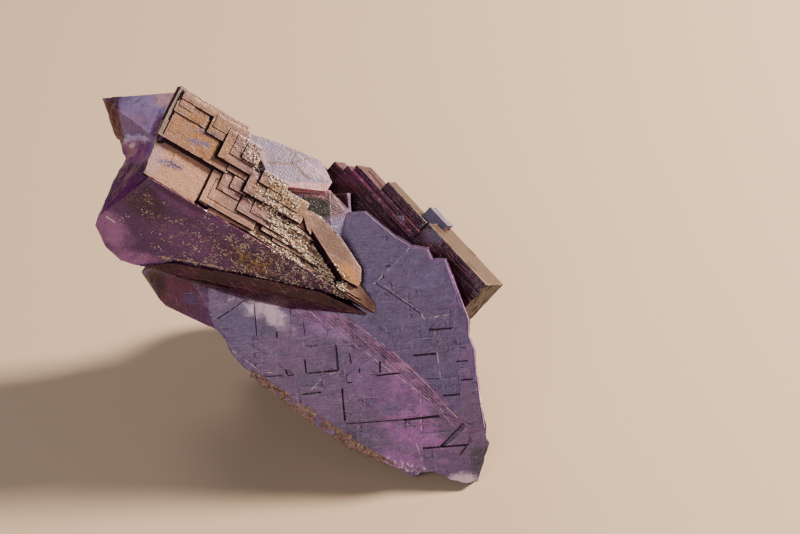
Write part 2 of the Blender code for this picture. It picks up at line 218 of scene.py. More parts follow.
# How many thin growth plates each square millimetre carries, and how long, wide and thick they are.
PLATES: dict[Skin, tuple[float, Pair, Pair, Pair]] = {
    Skin.FILM: (0.03, (0.8, 3.4), (0.5, 2.0), (0.02, 0.05)),
    Skin.VIOLET: (0.04, (1.2, 5.0), (0.8, 3.0), (0.02, 0.05)),
    Skin.GLASS: (0.08, (2.0, 9.0), (0.25, 0.9), (0.03, 0.10)),
    Skin.FROST: (0.06, (0.8, 2.5), (0.5, 1.6), (0.02, 0.06)),
}
# A wall on the stepped crystal lower than this carries the film too.
LOW_WALL = 0.27
# Where each crystal's own surface lies, in its axes.
STEPPED_BOX = Box((-1.9, 37.9), (-1.4, 12.9), (-2.0, 0.8))
STEPPED_CREST = Box(x=(16.0, math.inf), y=(9.4, math.inf))
APRON_BOX = Box((-3.4, 37.5), (-15.0, 0.6), (-6.2, 0.2))
APRON_CORNER = Box(x=(-math.inf, 9.0), y=(-math.inf, -5.0))
BROAD_BOX = Box((-23.5, 15.6), (-29.0, 11.4), (-22.5, 0.6))
BROAD_DEPTH = -1.5
DARK_BOX = Box((-31.8, 0.3), (-18.3, 1.1), (-8.0, 7.3))
DARK_FROST = Box((-14.9, -10.8), (-1.6, math.inf), (-math.inf, 3.7))
DARK_FILM = Box(x=(-13.0, math.inf))
DARK_STRIP = Box(x=(-20.0, -13.0), z=(-math.inf, 4.0))
# The end block and the lumps between the crystals, in the upright growth frame, and what they show.
END_BLOCK = Box(x=(-math.inf, -8.0), z=(16.8, math.inf))
LUMPS: tuple[tuple[Box, Skin], ...] = (
    (Box((-math.inf, -13.0), (-math.inf, 5.0), (4.0, math.inf)), Skin.BROKEN),
    (Box((-9.5, 7.5), (-math.inf, 7.0), (7.5, math.inf)), Skin.FROST),
    (Box((-math.inf, 11.5), (-math.inf, 0.5), (-6.0, 5.0)), Skin.GLASS),
    (Box((-math.inf, -8.0), (0.0, math.inf)), Skin.VIOLET),
)
# How squarely a face has to look along an axis to count as facing it, and how little to stand up from it.
SQUARE = 0.985
STANDING = 0.3
# A step this high is marked in full, as a worn edge painted pale as a highlight at its top and with painted
# shade at its foot; lower ones are marked less.
FULL_STEP = 0.25


@dataclass(frozen=True)
class Relief:
    """A low plate or an open groove on a flat face, drawn in that face's own two directions."""

    outline: tuple[Pair, ...]
    height: float

    @staticmethod
    def stair(u: float, v: float, long: float, wide: float, height: float, cut: Pair) -> "Relief":
        """A plate with one corner stepped in.

        Args:
            u: The plate's middle along the face.
            v: The plate's middle up the face.
            long: Its length.
            wide: Its width.
            height: Its height.
            cut: The share of each side that the step takes, below zero for the near end.

        Returns:
            The plate.
        """
        side = 1.0 if cut[0] > 0.0 else -1.0
        rise = 1.0 if cut[1] > 0.0 else -1.0
        inner_u, inner_v = 0.5 - abs(cut[0]), 0.5 - abs(cut[1])
        shape = ((-0.5, -0.5), (0.5, -0.5), (0.5, inner_v), (inner_u, inner_v), (inner_u, 0.5), (-0.5, 0.5))
        track = tuple((u + side * a * long, v + rise * b * wide) for a, b in shape)
        return Relief(track if side * rise > 0.0 else track[::-1], height)

    @staticmethod
    def cleft(start: Pair, end: Pair, width: float, depth: float) -> "Relief":
        """A thin open groove between two points, pointed at both ends, whose inside is painted near black
        as shade.

        Args:
            start: Where it begins.
            end: Where it ends.
            width: Its width in the middle.
            depth: How deep it is.

        Returns:
            The groove as a relief below the face.
        """
        a, b = Vector(start), Vector(end)
        along = (b - a).normalized()
        side = Vector((-along.y, along.x)) * width / 2.0
        tip = along * width
        corners = (a, a + tip + side, b - tip + side, b, b - tip - side, a + tip - side)
        return Relief(tuple((c.x, c.y) for c in corners), -depth)


# Clefts along cleavage on the broad face: from, to, width. Their insides are painted near black as shade.
BROAD_CLEFTS: tuple[tuple[Pair, Pair, float], ...] = (
    ((8.1, -6.24), (11.45, -6.24), 0.16),
    ((5.7, -9.55), (9.0, -9.55), 0.17),
    ((9.2, -15.36), (11.7, -15.38), 0.16),
    ((11.8, -13.46), (13.6, -13.4), 0.15),
    ((11.45, -10.84), (13.2, -10.86), 0.11),
    ((-4.6, -18.28), (3.6, -18.34), 0.10),
    ((3.3, -18.36), (9.2, -18.2), 0.22),
    ((5.6, -22.48), (12.3, -22.48), 0.17),
    ((-4.66, -13.3), (-4.7, -17.9), 0.17),
    ((0.97, -9.9), (0.82, -11.7), 0.18),
    ((0.2, -11.95), (5.2, -11.8), 0.16),
    ((-4.94, -7.2), (-4.94, -11.0), 0.12),
    ((-7.1, -10.86), (-4.9, -10.8), 0.15),
    ((-9.5, -8.8), (-9.45, -10.9), 0.15),
    ((-9.3, -10.86), (-7.2, -10.82), 0.13),
    ((-12.3, -10.0), (-12.1, -10.9), 0.14),
    ((-12.2, -10.95), (-11.1, -10.9), 0.12),
    ((-15.4, -10.8), (-12.7, -10.9), 0.09),
    ((-15.85, -0.4), (-15.9, -5.2), 0.09),
    ((-12.98, -3.9), (-13.07, -5.75), 0.13),
    ((-21.3, -2.3), (-19.3, -1.3), 0.11),
    ((-19.2, -1.25), (-16.3, 0.5), 0.10),
    ((-10.4, -13.7), (-7.5, -13.62), 0.13),
    ((-3.2, -8.5), (-3.1, -10.1), 0.13),
    ((-1.94, -10.1), (-2.0, -11.5), 0.12),
    ((-3.9, -11.4), (-3.9, -12.5), 0.12),
    ((-3.85, -12.6), (-3.1, -12.6), 0.11),
    ((7.2, -12.85), (8.9, -12.95), 0.07),
    ((1.5, 0.8), (7.4, -4.0), 0.08),
    ((-2.3, 9.9), (-2.35, 7.7), 0.10),
    ((3.0, 3.0), (4.3, 2.95), 0.12),
    ((2.6, 2.2), (2.65, 1.3), 0.10),
    ((10.9, -23.7), (12.3, -21.9), 0.10),
)
CLEFT_DEPTH = 0.45
CLEFT_OPENING = 1.45
# Clefts in the tan face: along the ridge at its left, and before the tip. Their insides are painted near
# black as shade.
STEPPED_CLEFTS: tuple[tuple[Pair, Pair, float], ...] = (
    ((-0.92, 5.7), (-0.95, 12.1), 0.13),
    ((31.7, -0.45), (34.5, -0.4), 0.13),
    ((21.2, 4.1), (23.4, 4.0), 0.10),
)


# The corners of the small lobe under the end face, in the upright growth frame.
LOBE = (
    (-24.7, -6.0, 20.6), (-23.9, -7.6, 18.6), (-23.3, -8.6, 17.2), (-19.0, -16.8, 17.9),
    (-18.4, -17.6, 20.2), (-19.6, -14.9, 21.0), (-24.3, -5.4, 21.3), (-21.0, -2.0, 20.9),
    (-20.0, -4.0, 17.0), (-16.0, -10.0, 18.0), (-16.0, -10.0, 21.0),
)
LOBE_CUTS = 7


@dataclass
class GrowthMap:
    """Knows which kind of surface each flat face of the cluster is, from where it lies and faces."""

    inverses: dict[CrystalAxes, Matrix] = field(default_factory=dict)

    def __post_init__(self) -> None:
        """Works out the matrices once."""
        for axes in (STEPPED, APRON, BROAD, DARK):
            self.inverses[axes] = axes.matrix().inverted()
        self.to_growth = growth_to_part().inverted()
        self.rim = [Vector(point) for point in MATRIX_LINE]

    def local(self, axes: CrystalAxes, point: Vector, normal: Vector) -> tuple[Vector, Vector]:
        """A point and a normal in a crystal's own axes.

        Args:
            axes: The crystal.
            point: The point in the part's frame.
            normal: The normal in the part's frame.

        Returns:
            Both in u, v, w.
        """
        inverse = self.inverses[axes]
        return inverse @ point, inverse.to_3x3() @ normal

    def skin(self, point: Vector, normal: Vector, area: float, rise: float) -> Skin:
        """The kind of surface of one flat face.

        Args:
            point: The face's middle.
            normal: The face's outward normal.
            area: The face's area.
            rise: How far the face reaches up out of the stepped crystal.

        Returns:
            Its kind.
        """
        if rise < LOW_WALL and self.stepped_skin(point, normal) is Skin.GLASS:
            return Skin.FILM
        here, facing = self.local(BROAD, point, normal)
        if self.is_matrix(here, area):
            return Skin.MATRIX
        if point.z < 4.0 and normal.z < -0.3 and here.z < -2.5:
            return Skin.BROKEN
        for test in (self.stepped_skin, self.apron_skin, self.broad_skin, self.dark_skin):
            found = test(point, normal)
            if found is not None:
                return found
        return self.lump_skin(self.to_growth @ point, self.to_growth.to_3x3() @ normal, facing)

    def is_matrix(self, here: Vector, area: float) -> bool:
        """Whether a small face belongs to the grains of matrix along the broad face's rim.

        Args:
            here: The face's middle in the broad crystal's axes.
            area: Its area.

        Returns:
            Whether it does.
        """
        grain_area, reach = 1.6, 1.5
        if area > grain_area or here.z < -3.2:
            return False
        spot = here.to_2d()
        for start, end in zip(self.rim, self.rim[1:]):
            nearest, share = intersect_point_line(spot, start, end)
            if 0.0 <= share <= 1.0 and (spot - nearest.to_2d()).length < reach:
                return True
        return False

    def stepped_skin(self, point: Vector, normal: Vector) -> Skin | None:
        """Film on the stepped crystal's terraces, dark glass on their walls.

        Args:
            point: The face's middle.
            normal: Its outward normal.

        Returns:
            Its kind, or None if it is none of these.
        """
        here, facing = self.local(STEPPED, point, normal)
        if not STEPPED_BOX.holds(here):
            return None
        if STEPPED_CREST.holds(here):
            return Skin.FROST
        if facing.z > SQUARE:
            return Skin.FILM
        return Skin.GLASS if abs(facing.z) < STANDING else None

    def apron_skin(self, point: Vector, normal: Vector) -> Skin | None:
        """The dark slope under the stepped face, and its rounded lower left side.

        Args:
            point: The face's middle.
            normal: Its outward normal.

        Returns:
            Its kind, or None if it is none of these.
        """
        here, facing = self.local(APRON, point, normal)
        if not APRON_BOX.holds(here):
            return None
        if facing.z > 0.9995 or APRON_CORNER.holds(here):
            return Skin.APRON
        return Skin.GLASS if facing.z > 0.9 or facing.y > 0.9 else None

    def broad_skin(self, point: Vector, normal: Vector) -> Skin | None:
        """Violet on the broad face and its low steps, broken stone on the slab's sides.

        Args:
            point: The face's middle.
            normal: Its outward normal.

        Returns:
            Its kind, or None if it is none of these.
        """
        here, facing = self.local(BROAD, point, normal)
        if not BROAD_BOX.holds(here):
            return None
        if here.z > BROAD_DEPTH:
            return Skin.VIOLET if facing.z > SQUARE or abs(facing.z) < STANDING else None
        if abs(facing.z) < 0.25 and facing.y < 0.2:
            return Skin.BROKEN
        return None

    def dark_skin(self, point: Vector, normal: Vector) -> Skin | None:
        """Film on the upper sides of the dark bars, dark glass on the rest.

        Args:
            point: The face's middle.
            normal: Its outward normal.

        Returns:
            Its kind, or None if it is none of these.
        """
        here, facing = self.local(DARK, point, normal)
        if not DARK_BOX.holds(here) or max(abs(value) for value in facing) < SQUARE:
            return None
        if DARK_FROST.holds(here):
            return Skin.FROST
        filmed = DARK_FILM.holds(here) or DARK_STRIP.holds(here)
        return Skin.FILM if facing.y > 0.9 and filmed else Skin.GLASS

    @staticmethod
    def lump_skin(place: Vector, facing: Vector, turned: Vector) -> Skin:
        """The kind of surface on the lumps and hidden crystals.

        Args:
            place: The face's middle in the upright growth frame.
            facing: Its normal in that frame.
            turned: Its normal in the broad crystal's axes.

        Returns:
            Its kind.
        """
        if END_BLOCK.holds(place):
            return Skin.VIOLET if facing.y < -0.5 or facing.z > 0.7 else Skin.BROKEN
        for box, skin in LUMPS:
            if box.holds(place):
                return skin
        if turned.y > 0.9:
            return Skin.FILM
        return Skin.VIOLET if max(abs(value) for value in turned) > 0.98 else Skin.BROKEN


@dataclass
class FlatFace:
    """One flat face of the solid: its triangles, its plane and its kind of surface."""

    triangles: list[int]
    normal: np.ndarray
    middle: np.ndarray
    area: float
    skin: Skin


@dataclass
class SolidSurface:
    """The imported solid's surface as welded points and triangles."""

    points: np.ndarray
    triangles: np.ndarray
    flatness: float = 0.004

    @classmethod
    def of(cls, node: bpy.types.Object) -> "SolidSurface":
        """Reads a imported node.

        Args:
            node: The node's object.

        Returns:
            Its surface in millimetres.
        """
        weld = 0.002
        solid = bmesh.new()
        solid.from_mesh(node.data)
        solid.transform(Matrix.Scale(1.0 / METRES, 4))
        bmesh.ops.remove_doubles(solid, verts=solid.verts, dist=weld)
        bmesh.ops.triangulate(solid, faces=solid.faces)
        solid.verts.ensure_lookup_table()
        points = np.array([vert.co[:] for vert in solid.verts])
        triangles = np.array([[vert.index for vert in face.verts] for face in solid.faces])
        solid.free()
        return cls(points, triangles)

    def flat_faces(self, growth: GrowthMap) -> list[FlatFace]:
        """Gathers the triangles into flat faces, the largest first.

        Args:
            growth: Names each face's kind of surface.

        Returns:
            The flat faces.
        """
        corners = self.points[self.triangles]
        crosses = np.cross(corners[:, 1] - corners[:, 0], corners[:, 2] - corners[:, 0])
        areas = np.linalg.norm(crosses, axis=1) / 2.0
        normals = crosses / np.maximum(2.0 * areas, 1e-12)[:, None]
        sides: dict[tuple[int, int], list[int]] = defaultdict(list)
        for number, (a, b, c) in enumerate(self.triangles):
            for p, q in ((a, b), (b, c), (c, a)):
                sides[(min(p, q), max(p, q))].append(number)
        touching: dict[int, set[int]] = defaultdict(set)
        for pair in sides.values():
            for number in pair:
                touching[number].update(pair)
        taken = np.zeros(len(self.triangles), bool)
        step_up = np.array(STEPPED.axis(2))
        faces = []
        for seed in np.argsort(-areas):
            if taken[seed]:
                continue
            members = self.grow_flat(int(seed), corners, normals, areas, touching, taken)
            weights = areas[members][:, None] + 1e-9
            middle = (corners[members].mean(axis=1) * weights).sum(axis=0) / weights.sum()
            area = float(areas[members].sum())
            rise = float(np.ptp(corners[members].reshape(-1, 3) @ step_up))
            skin = growth.skin(Vector(middle), Vector(normals[seed]), area, rise)
            faces.append(FlatFace(members, normals[seed], middle, area, skin))
        return faces

    def grow_flat(
        self,
        seed: int,
        corners: np.ndarray,
        normals: np.ndarray,
        areas: np.ndarray,
        touching: dict[int, set[int]],
        taken: np.ndarray,
    ) -> list[int]:
        """Gathers the triangles that lie in the seed's plane and join up with it.

        Args:
            seed: The first triangle.
            corners: Every triangle's corners.
            normals: Every triangle's normal.
            areas: Every triangle's area.
            touching: The triangles that share a side with each triangle.
            taken: Which triangles belong to a face already. Updated.

        Returns:
            The face's triangles.
        """
        sliver = 1e-3
        normal = normals[seed]
        level = float(corners[seed, 0] @ normal)
        members, waiting = [], [seed]
        taken[seed] = True
        while waiting:
            number = waiting.pop()
            members.append(number)
            for other in touching[number]:
                if taken[other]:
                    continue
                off = np.abs(corners[other] @ normal - level).max()
                agrees = normals[other] @ normal > 0.5 or areas[other] < sliver
                if off < self.flatness and agrees:
                    taken[other] = True
                    waiting.append(other)
        return members


@dataclass
class FaceOutline:
    """A flat face laid out in two dimensions, with its sides split into short runs."""

    face: FlatFace
    origin: np.ndarray
    across: np.ndarray
    upward: np.ndarray
    runs: list[tuple[int, int]]
    hollow: list[float]
    rings: list[list[int]]
    starts: np.ndarray
    ends: np.ndarray

    def flat(self, points: np.ndarray) -> np.ndarray:
        """Points of space in the face's two directions."""
        away = points - self.origin
        return np.stack((away @ self.across, away @ self.upward), axis=1)

    def lifted(self, u: float, v: float, height: float) -> np.ndarray:
        """The point of space at u, v, that far off the face."""
        return self.origin + u * self.across + v * self.upward + height * self.face.normal

    def holds(self, points: np.ndarray) -> np.ndarray:
        """Whether each point lies inside the face, by counting the sides that a line to the right crosses.

        Args:
            points: Points in the face's two directions.

        Returns:
            A truth value for each.
        """
        inside = np.zeros(len(points), bool)
        x, y = points[:, 0], points[:, 1]
        for (x0, y0), (x1, y1) in zip(self.starts, self.ends):
            if y0 == y1:
                continue
            spans = (y0 > y) != (y1 > y)
            inside ^= spans & (x < (x1 - x0) * (y - y0) / (y1 - y0) + x0)
        return inside

    @staticmethod
    def gaps(points: np.ndarray, start: np.ndarray, end: np.ndarray) -> np.ndarray:
        """How far each point is from one side.

        Args:
            points: The points.
            start: Where the side starts.
            end: Where it ends.

        Returns:
            A distance for each.
        """
        along = end - start
        length = max(float(along @ along), 1e-12)
        share = np.clip(((points - start) @ along) / length, 0.0, 1.0)
        gap = points - start - share[:, None] * along
        return np.hypot(gap[:, 0], gap[:, 1])

    def room(self, points: np.ndarray) -> np.ndarray:
        """How far each point is from the face's nearest side.

        Args:
            points: Points in the face's two directions.

        Returns:
            A distance for each.
        """
        nearest = np.full(len(points), np.inf)
        for start, end in zip(self.starts, self.ends):
            nearest = np.minimum(nearest, self.gaps(points, start, end))
        return nearest

    def shadow(self, points: np.ndarray, reach: float) -> np.ndarray:
        """How far each point is under the walls that stand on the face.

        Args:
            points: Points in the face's two directions.
            reach: How far out the highest walls reach.

        Returns:
            A value for each, 1 at a wall's foot and 0 away from it.
        """
        deepest = np.zeros(len(points))
        for start, end, hollow in zip(self.starts, self.ends, self.hollow):
            if hollow > 0.0:
                away = self.gaps(points, start, end) / (reach * hollow)
                deepest = np.maximum(deepest, 1.0 - away)
        return deepest


@dataclass
class FineSurface:
    """The fine mesh as it grows: its points with their edge marks (worn edges, also painted pale as
    highlights, and painted shade in creases and under walls), and its faces with their kinds.
    """

    points: list[np.ndarray] = field(default_factory=list)
    wear: list[float] = field(default_factory=list)
    cleft: list[float] = field(default_factory=list)
    pushes: list[list[tuple[np.ndarray, Skin]]] = field(default_factory=list)
    faces: list[list[int]] = field(default_factory=list)
    skins: list[Skin] = field(default_factory=list)

    def add_point(self, point: np.ndarray, wear: float = 0.0, cleft: float = 0.0) -> int:
        """Adds a point and returns its number.

        Args:
            point: The point.
            wear: How worn it is, and how strongly it is painted pale as a highlight.
            cleft: How much painted shade it gets, in a crease or under a wall.

        Returns:
            Its number.
        """
        self.points.append(point)
        self.wear.append(wear)
        self.cleft.append(cleft)
        self.pushes.append([])
        return len(self.points) - 1

    def add_face(self, corners: Sequence[int], skin: Skin, normal: np.ndarray) -> None:
        """Adds a face, and lets its corners be pitted along its normal.

        Args:
            corners: The numbers of its points.
            skin: Its kind of surface.
            normal: The normal of the flat face it belongs to.
        """
        tidy = [n for i, n in enumerate(corners) if n != corners[i - 1]]
        if len(tidy) < 3:
            return
        self.faces.append(tidy)
        self.skins.append(skin)
        for number in tidy:
            if all(known is not normal for known, _ in self.pushes[number]):
                self.pushes[number].append((normal, skin))


@dataclass
class ClusterSkin:
    """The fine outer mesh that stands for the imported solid: worn edges, thin plates, clefts and pits."""

    front_spacing: float = 0.40
    back_spacing: float = 0.62
    run_length: float = 0.46
    back_run_length: float = 0.75
    ring: float = 0.13
    # The painted shade under walls: the ring steps that hold it, and how far it reaches.
    foot_steps: Pair = (0.34, 0.55)
    foot_reach: float = 1.1
    nick_depth: float = 0.05
    chip_depth: float = 0.24
    seed: int = 5
    surface: FineSurface = field(default_factory=FineSurface)

    def __post_init__(self) -> None:
        """Prepares the random draws and the map of surfaces."""
        self.chance = random.Random(self.seed)
        self.growth = GrowthMap()
        self.toward_viewer = growth_to_part().to_3x3() @ Vector((0.0, -1.0, 0.0))
        self.along_stepped, self.up_stepped = STEPPED.axis(0), STEPPED.axis(1)

    def build(self, node: bpy.types.Object) -> bpy.types.Object:
        """Makes the fine mesh.

        Args:
            node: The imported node.

        Returns:
            The new object.
        """
        solid = SolidSurface.of(node)
        faces = solid.flat_faces(self.growth)
        for point in solid.points:
            self.surface.add_point(point)
        outlines = self.lay_out(solid, faces)
        for outline in outlines:
            self.fill(outline)
        self.add_lobe()
        log.info("%d flat faces, %d fine faces", len(faces), len(self.surface.faces))
        self.weather()
        return self.to_object()

    def is_front(self, normal: np.ndarray) -> bool:
        """Whether a face is turned towards the front."""
        return Vector(normal).dot(self.toward_viewer) > -0.1

    def lay_out(self, solid: SolidSurface, faces: list[FlatFace]) -> list[FaceOutline]:
        """Finds each flat face's sides and splits them into runs that neighbours share.

        Args:
            solid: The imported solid's surface.
            faces: Its flat faces.

        Returns:
            The faces' outlines.
        """
        owner = {number: index for index, face in enumerate(faces) for number in face.triangles}
        across_side: dict[tuple[int, int], int] = {}
        for number, (a, b, c) in enumerate(solid.triangles):
            for side in ((a, b), (b, c), (c, a)):
                across_side[(int(side[0]), int(side[1]))] = number
        split: dict[tuple[int, int], list[int]] = {}
        outlines = []
        for index, face in enumerate(faces):
            runs, hollow, rings = [], [], []
            longest, heading = 0.0, None
            for number in face.triangles:
                a, b, c = (int(n) for n in solid.triangles[number])
                ring = []
                for p, q, opposite in ((a, b, c), (b, c, a), (c, a, b)):
                    other = across_side.get((q, p))
                    if other is not None and owner[other] == index:
                        ring.append(p)
                        continue
                    neighbour = faces[owner[other]] if other is not None else face
                    made = self.split_side(solid, p, q, opposite, face, neighbour, split)
                    runs += made
                    ring += [start for start, _ in made]
                    hollow += [self.wall_weight(solid, p, face, neighbour)] * len(made)
                    along = solid.points[q] - solid.points[p]
                    if np.linalg.norm(along) > longest:
                        longest, heading = float(np.linalg.norm(along)), along
                rings.append(ring)
            if heading is None:
                continue
            outlines.append(self.outline(face, heading, runs, hollow, rings))
        return outlines

    def wall_weight(
        self, solid: SolidSurface, foot: int, face: FlatFace, neighbour: FlatFace
    ) -> float:
        """How deep a shade a wall casts on the face at its foot, from 0 to 1.

        Args:
            solid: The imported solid's surface.
            foot: A point on the wall's foot.
            face: The face.
            neighbour: The wall.

        Returns:
            The weight: higher walls that face down the crystal have more.
        """
        full, least = 0.6, 0.12
        corners = solid.points[solid.triangles[neighbour.triangles]].reshape(-1, 3)
        height = float(((corners - solid.points[foot]) @ face.normal).max())
        if height < least or face.skin is not Skin.FILM:
            return 0.0
        facing = Vector(neighbour.normal)
        turned = max(facing.dot(-self.along_stepped), facing.dot(-self.up_stepped))
        return min(height / full, 1.0) if turned > 0.5 else 0.0

    def split_side(
        self,
        solid: SolidSurface,
        start: int,
        end: int,
        opposite: int,
        face: FlatFace,
        neighbour: FlatFace,
        split: dict[tuple[int, int], list[int]],
    ) -> list[tuple[int, int]]:
        """Splits one side of a flat face into runs, once for both faces that share it.

        Args:
            solid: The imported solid's surface.
            start: The side's first point.
            end: Its second point.
            opposite: The third corner of the triangle that it belongs to.
            face: The flat face.
            neighbour: The flat face on the other side.
            split: The sides split so far. Updated.

        Returns:
            The runs, in order.
        """
        key = (min(start, end), max(start, end))
        if key not in split:
            a, b = solid.points[key[0]], solid.points[key[1]]
            front = self.is_front(face.normal) or self.is_front(neighbour.normal)
            length = self.run_length if front else self.back_run_length
            pieces = max(1, round(float(np.linalg.norm(b - a)) / length))
            bend = 1.0 - float(face.normal @ neighbour.normal)
            sunk = float((solid.points[opposite] - a) @ neighbour.normal) < 0.0
            sharp = 1.0 if bend > 0.06 else 0.0
            # Outward edges are marked worn and painted pale as a highlight; inward edges are creases that
            # get painted shade.
            wear, cleft = (sharp, 0.0) if sunk else (0.0, sharp)
            numbers = [key[0]]
            for step in range(1, pieces):
                numbers.append(self.surface.add_point(a + (b - a) * step / pieces, wear, cleft))
            numbers.append(key[1])
            for number in (key[0], key[1]):
                self.surface.wear[number] = max(self.surface.wear[number], wear)
                self.surface.cleft[number] = max(self.surface.cleft[number], cleft)
            split[key] = numbers
        numbers = split[key] if key[0] == start else split[key][::-1]
        return list(zip(numbers, numbers[1:]))

    def outline(
        self,
        face: FlatFace,
        heading: np.ndarray,
        runs: list[tuple[int, int]],
        hollow: list[float],
        rings: list[list[int]],
    ) -> FaceOutline:
        """Lays a flat face out in two dimensions, along its crystal's edges where it has them.

        Args:
            face: The flat face.
            heading: The direction of its longest side.
            runs: Its sides, split.
            hollow: How deep a shade the wall on each side casts.
            rings: Its triangles, with their sides split.

        Returns:
            The outline.
        """
        for axes in (STEPPED, BROAD, DARK, APRON):
            if Vector(face.normal).dot(axes.axis(2)) > 0.995 and face.area > 1.0:
                heading = np.array(axes.axis(0))
        across = heading - (heading @ face.normal) * face.normal
        across = across / np.linalg.norm(across)
        upward = np.cross(face.normal, across)
        none = np.empty(0)
        outline = FaceOutline(face, face.middle, across, upward, runs, hollow, rings, none, none)
        points = self.surface.points
        outline.starts = outline.flat(np.array([points[a] for a, _ in runs]))
        outline.ends = outline.flat(np.array([points[b] for _, b in runs]))
        return outline

    def reliefs(self, outline: FaceOutline) -> list[Relief]:
        """The plates and clefts that a flat face carries, in the face's two directions.

        Args:
            outline: The face.

        Returns:
            Its reliefs.
        """
        face = outline.face
        found = []
        for axes, rows in ((BROAD, BROAD_CLEFTS), (STEPPED, STEPPED_CLEFTS)):
            if face.area < 3.0 or Vector(face.normal).dot(axes.axis(2)) < 0.995:
                continue
            for start, end, width in rows:
                ends = [axes.point(*start, 0.0), axes.point(*end, 0.0)]
                flat = outline.flat(np.array([point[:] for point in ends]))
                middle = flat.mean(axis=0, keepdims=True)
                if abs(outline.face.normal @ (np.array(ends[0][:]) - outline.origin)) < 2.0:
                    if outline.holds(middle)[0]:
                        wide = width * CLEFT_OPENING
                        found.append(Relief.cleft(tuple(flat[0]), tuple(flat[1]), wide, CLEFT_DEPTH))
        if face.skin in PLATES and face.area > 5.0:
            found += self.thin_plates(outline)
        return found

    def thin_plates(self, outline: FaceOutline) -> Iterator[Relief]:
        """Thin growth plates at random, square to the crystal's edges.

        Args:
            outline: The face they lie on.

        Yields:
            One plate after another.
        """
        share, lengths, widths, heights = PLATES[outline.face.skin]
        low, high = outline.starts.min(axis=0), outline.starts.max(axis=0)
        for _ in range(round(share * outline.face.area)):
            u = self.chance.uniform(low[0], high[0])
            v = self.chance.uniform(low[1], high[1])
            long, wide = self.chance.uniform(*lengths), self.chance.uniform(*widths)
            height = self.chance.uniform(*heights)
            cut = [self.chance.choice((-1.0, 1.0)) * self.chance.uniform(0.2, 0.6) for _ in range(2)]
            if outline.holds(np.array([(u, v)]))[0]:
                yield Relief.stair(u, v, long, wide, height, (cut[0], cut[1]))

    def add_lobe(self) -> None:
        """Adds the small rounded lobe grown in the nook under the end face."""
        lobe = bmesh.new()
        for corner in LOBE:
            lobe.verts.new(corner)
        bmesh.ops.convex_hull(lobe, input=lobe.verts)
        bmesh.ops.subdivide_edges(lobe, edges=lobe.edges, cuts=LOBE_CUTS, use_grid_fill=True)
        bmesh.ops.triangulate(lobe, faces=lobe.faces)
        lobe.normal_update()
        to_part = growth_to_part()
        numbers = {}
        for vert in lobe.verts:
            swell = 0.3 * noise.noise(vert.co / 1.3) - 0.12
            numbers[vert] = self.surface.add_point(np.array(to_part @ (vert.co + vert.normal * swell)))
        turn = to_part.to_3x3()
        for face in lobe.faces:
            normal = np.array(turn @ face.normal)
            self.surface.add_face([numbers[vert] for vert in face.verts], Skin.VIOLET, normal)
        lobe.free()

    def fill(self, outline: FaceOutline) -> None:
        """Fills a flat face with small triangles that follow its reliefs, or as it is if it is tiny.

        Args:
            outline: The face.
        """
        tiny = 0.3
        if outline.face.area < tiny or not self.fill_finely(outline):
            for ring in outline.rings:
                self.surface.add_face(ring, outline.face.skin, outline.face.normal)

    def fill_finely(self, outline: FaceOutline) -> bool:
        """Fills a flat face with small triangles that follow its reliefs.

        Args:
            outline: The face.

        Returns:
            Whether every side was met. If not, nothing is filled.
        """
        front = self.is_front(outline.face.normal)
        spacing = self.front_spacing if front else self.back_spacing
        reliefs = self.reliefs(outline)
        numbers = sorted({number for run in outline.runs for number in run})
        place = {number: index for index, number in enumerate(numbers)}
        points = self.surface.points
        flat = list(outline.flat(np.array([points[number] for number in numbers])))
        sides = [(place[a], place[b]) for a, b in outline.runs]
        for relief in reliefs:
            self.add_relief_sides(outline, relief, flat, sides)
        flat += self.ring_points(outline)
        flat += self.inner_points(outline, spacing)
        result = delaunay_2d_cdt([Vector(p) for p in flat], sides, [], 0, 1e-5, True)
        corners, _, triangles, origins = result[:4]
        if not triangles:
            return False
        spots = np.array([corner[:] for corner in corners])
        shared = [
            next((numbers[n] for n in origin if n < len(numbers)), None) for origin in origins
        ]
        known = {number: corner for corner, number in enumerate(shared) if number is not None}
        if any(a not in known or b not in known for a, b in outline.runs):
            return False
        border = {(known[a], known[b]) for a, b in outline.runs}
        kept = self.inside(triangles, border)
        if kept is None:
            return False
        triangles = np.array(triangles)
        heights = np.zeros(len(triangles))
        heights[kept] = self.heights(spots[triangles[kept]].mean(axis=1), reliefs)
        heights = np.round(heights, 4)
        self.raise_faces(outline, spots, triangles, kept, heights, shared)
        return True

    @staticmethod
    def inside(triangles: list[Sequence[int]], border: set[tuple[int, int]]) -> list[int] | None:
        """Finds the triangles that a border encloses, by spreading out from the border.

        Args:
            triangles: Every triangle's corners.
            border: The border's sides, each with the inside on its left.

        Returns:
            The triangles inside, or nothing if the border is not closed.
        """
        beside = {}
        for number, (a, b, c) in enumerate(triangles):
            beside[(a, b)] = beside[(b, c)] = beside[(c, a)] = number
        if any(side not in beside for side in border):
            return None
        found = {beside[side] for side in border}
        waiting = list(found)
        while waiting:
            a, b, c = triangles[waiting.pop()]
            for p, q in ((a, b), (b, c), (c, a)):
                if (p, q) in border:
                    continue
                other = beside.get((q, p))
                if other is None or (q, p) in border:
                    return None
                if other not in found:
                    found.add(other)
                    waiting.append(other)
        return sorted(found)

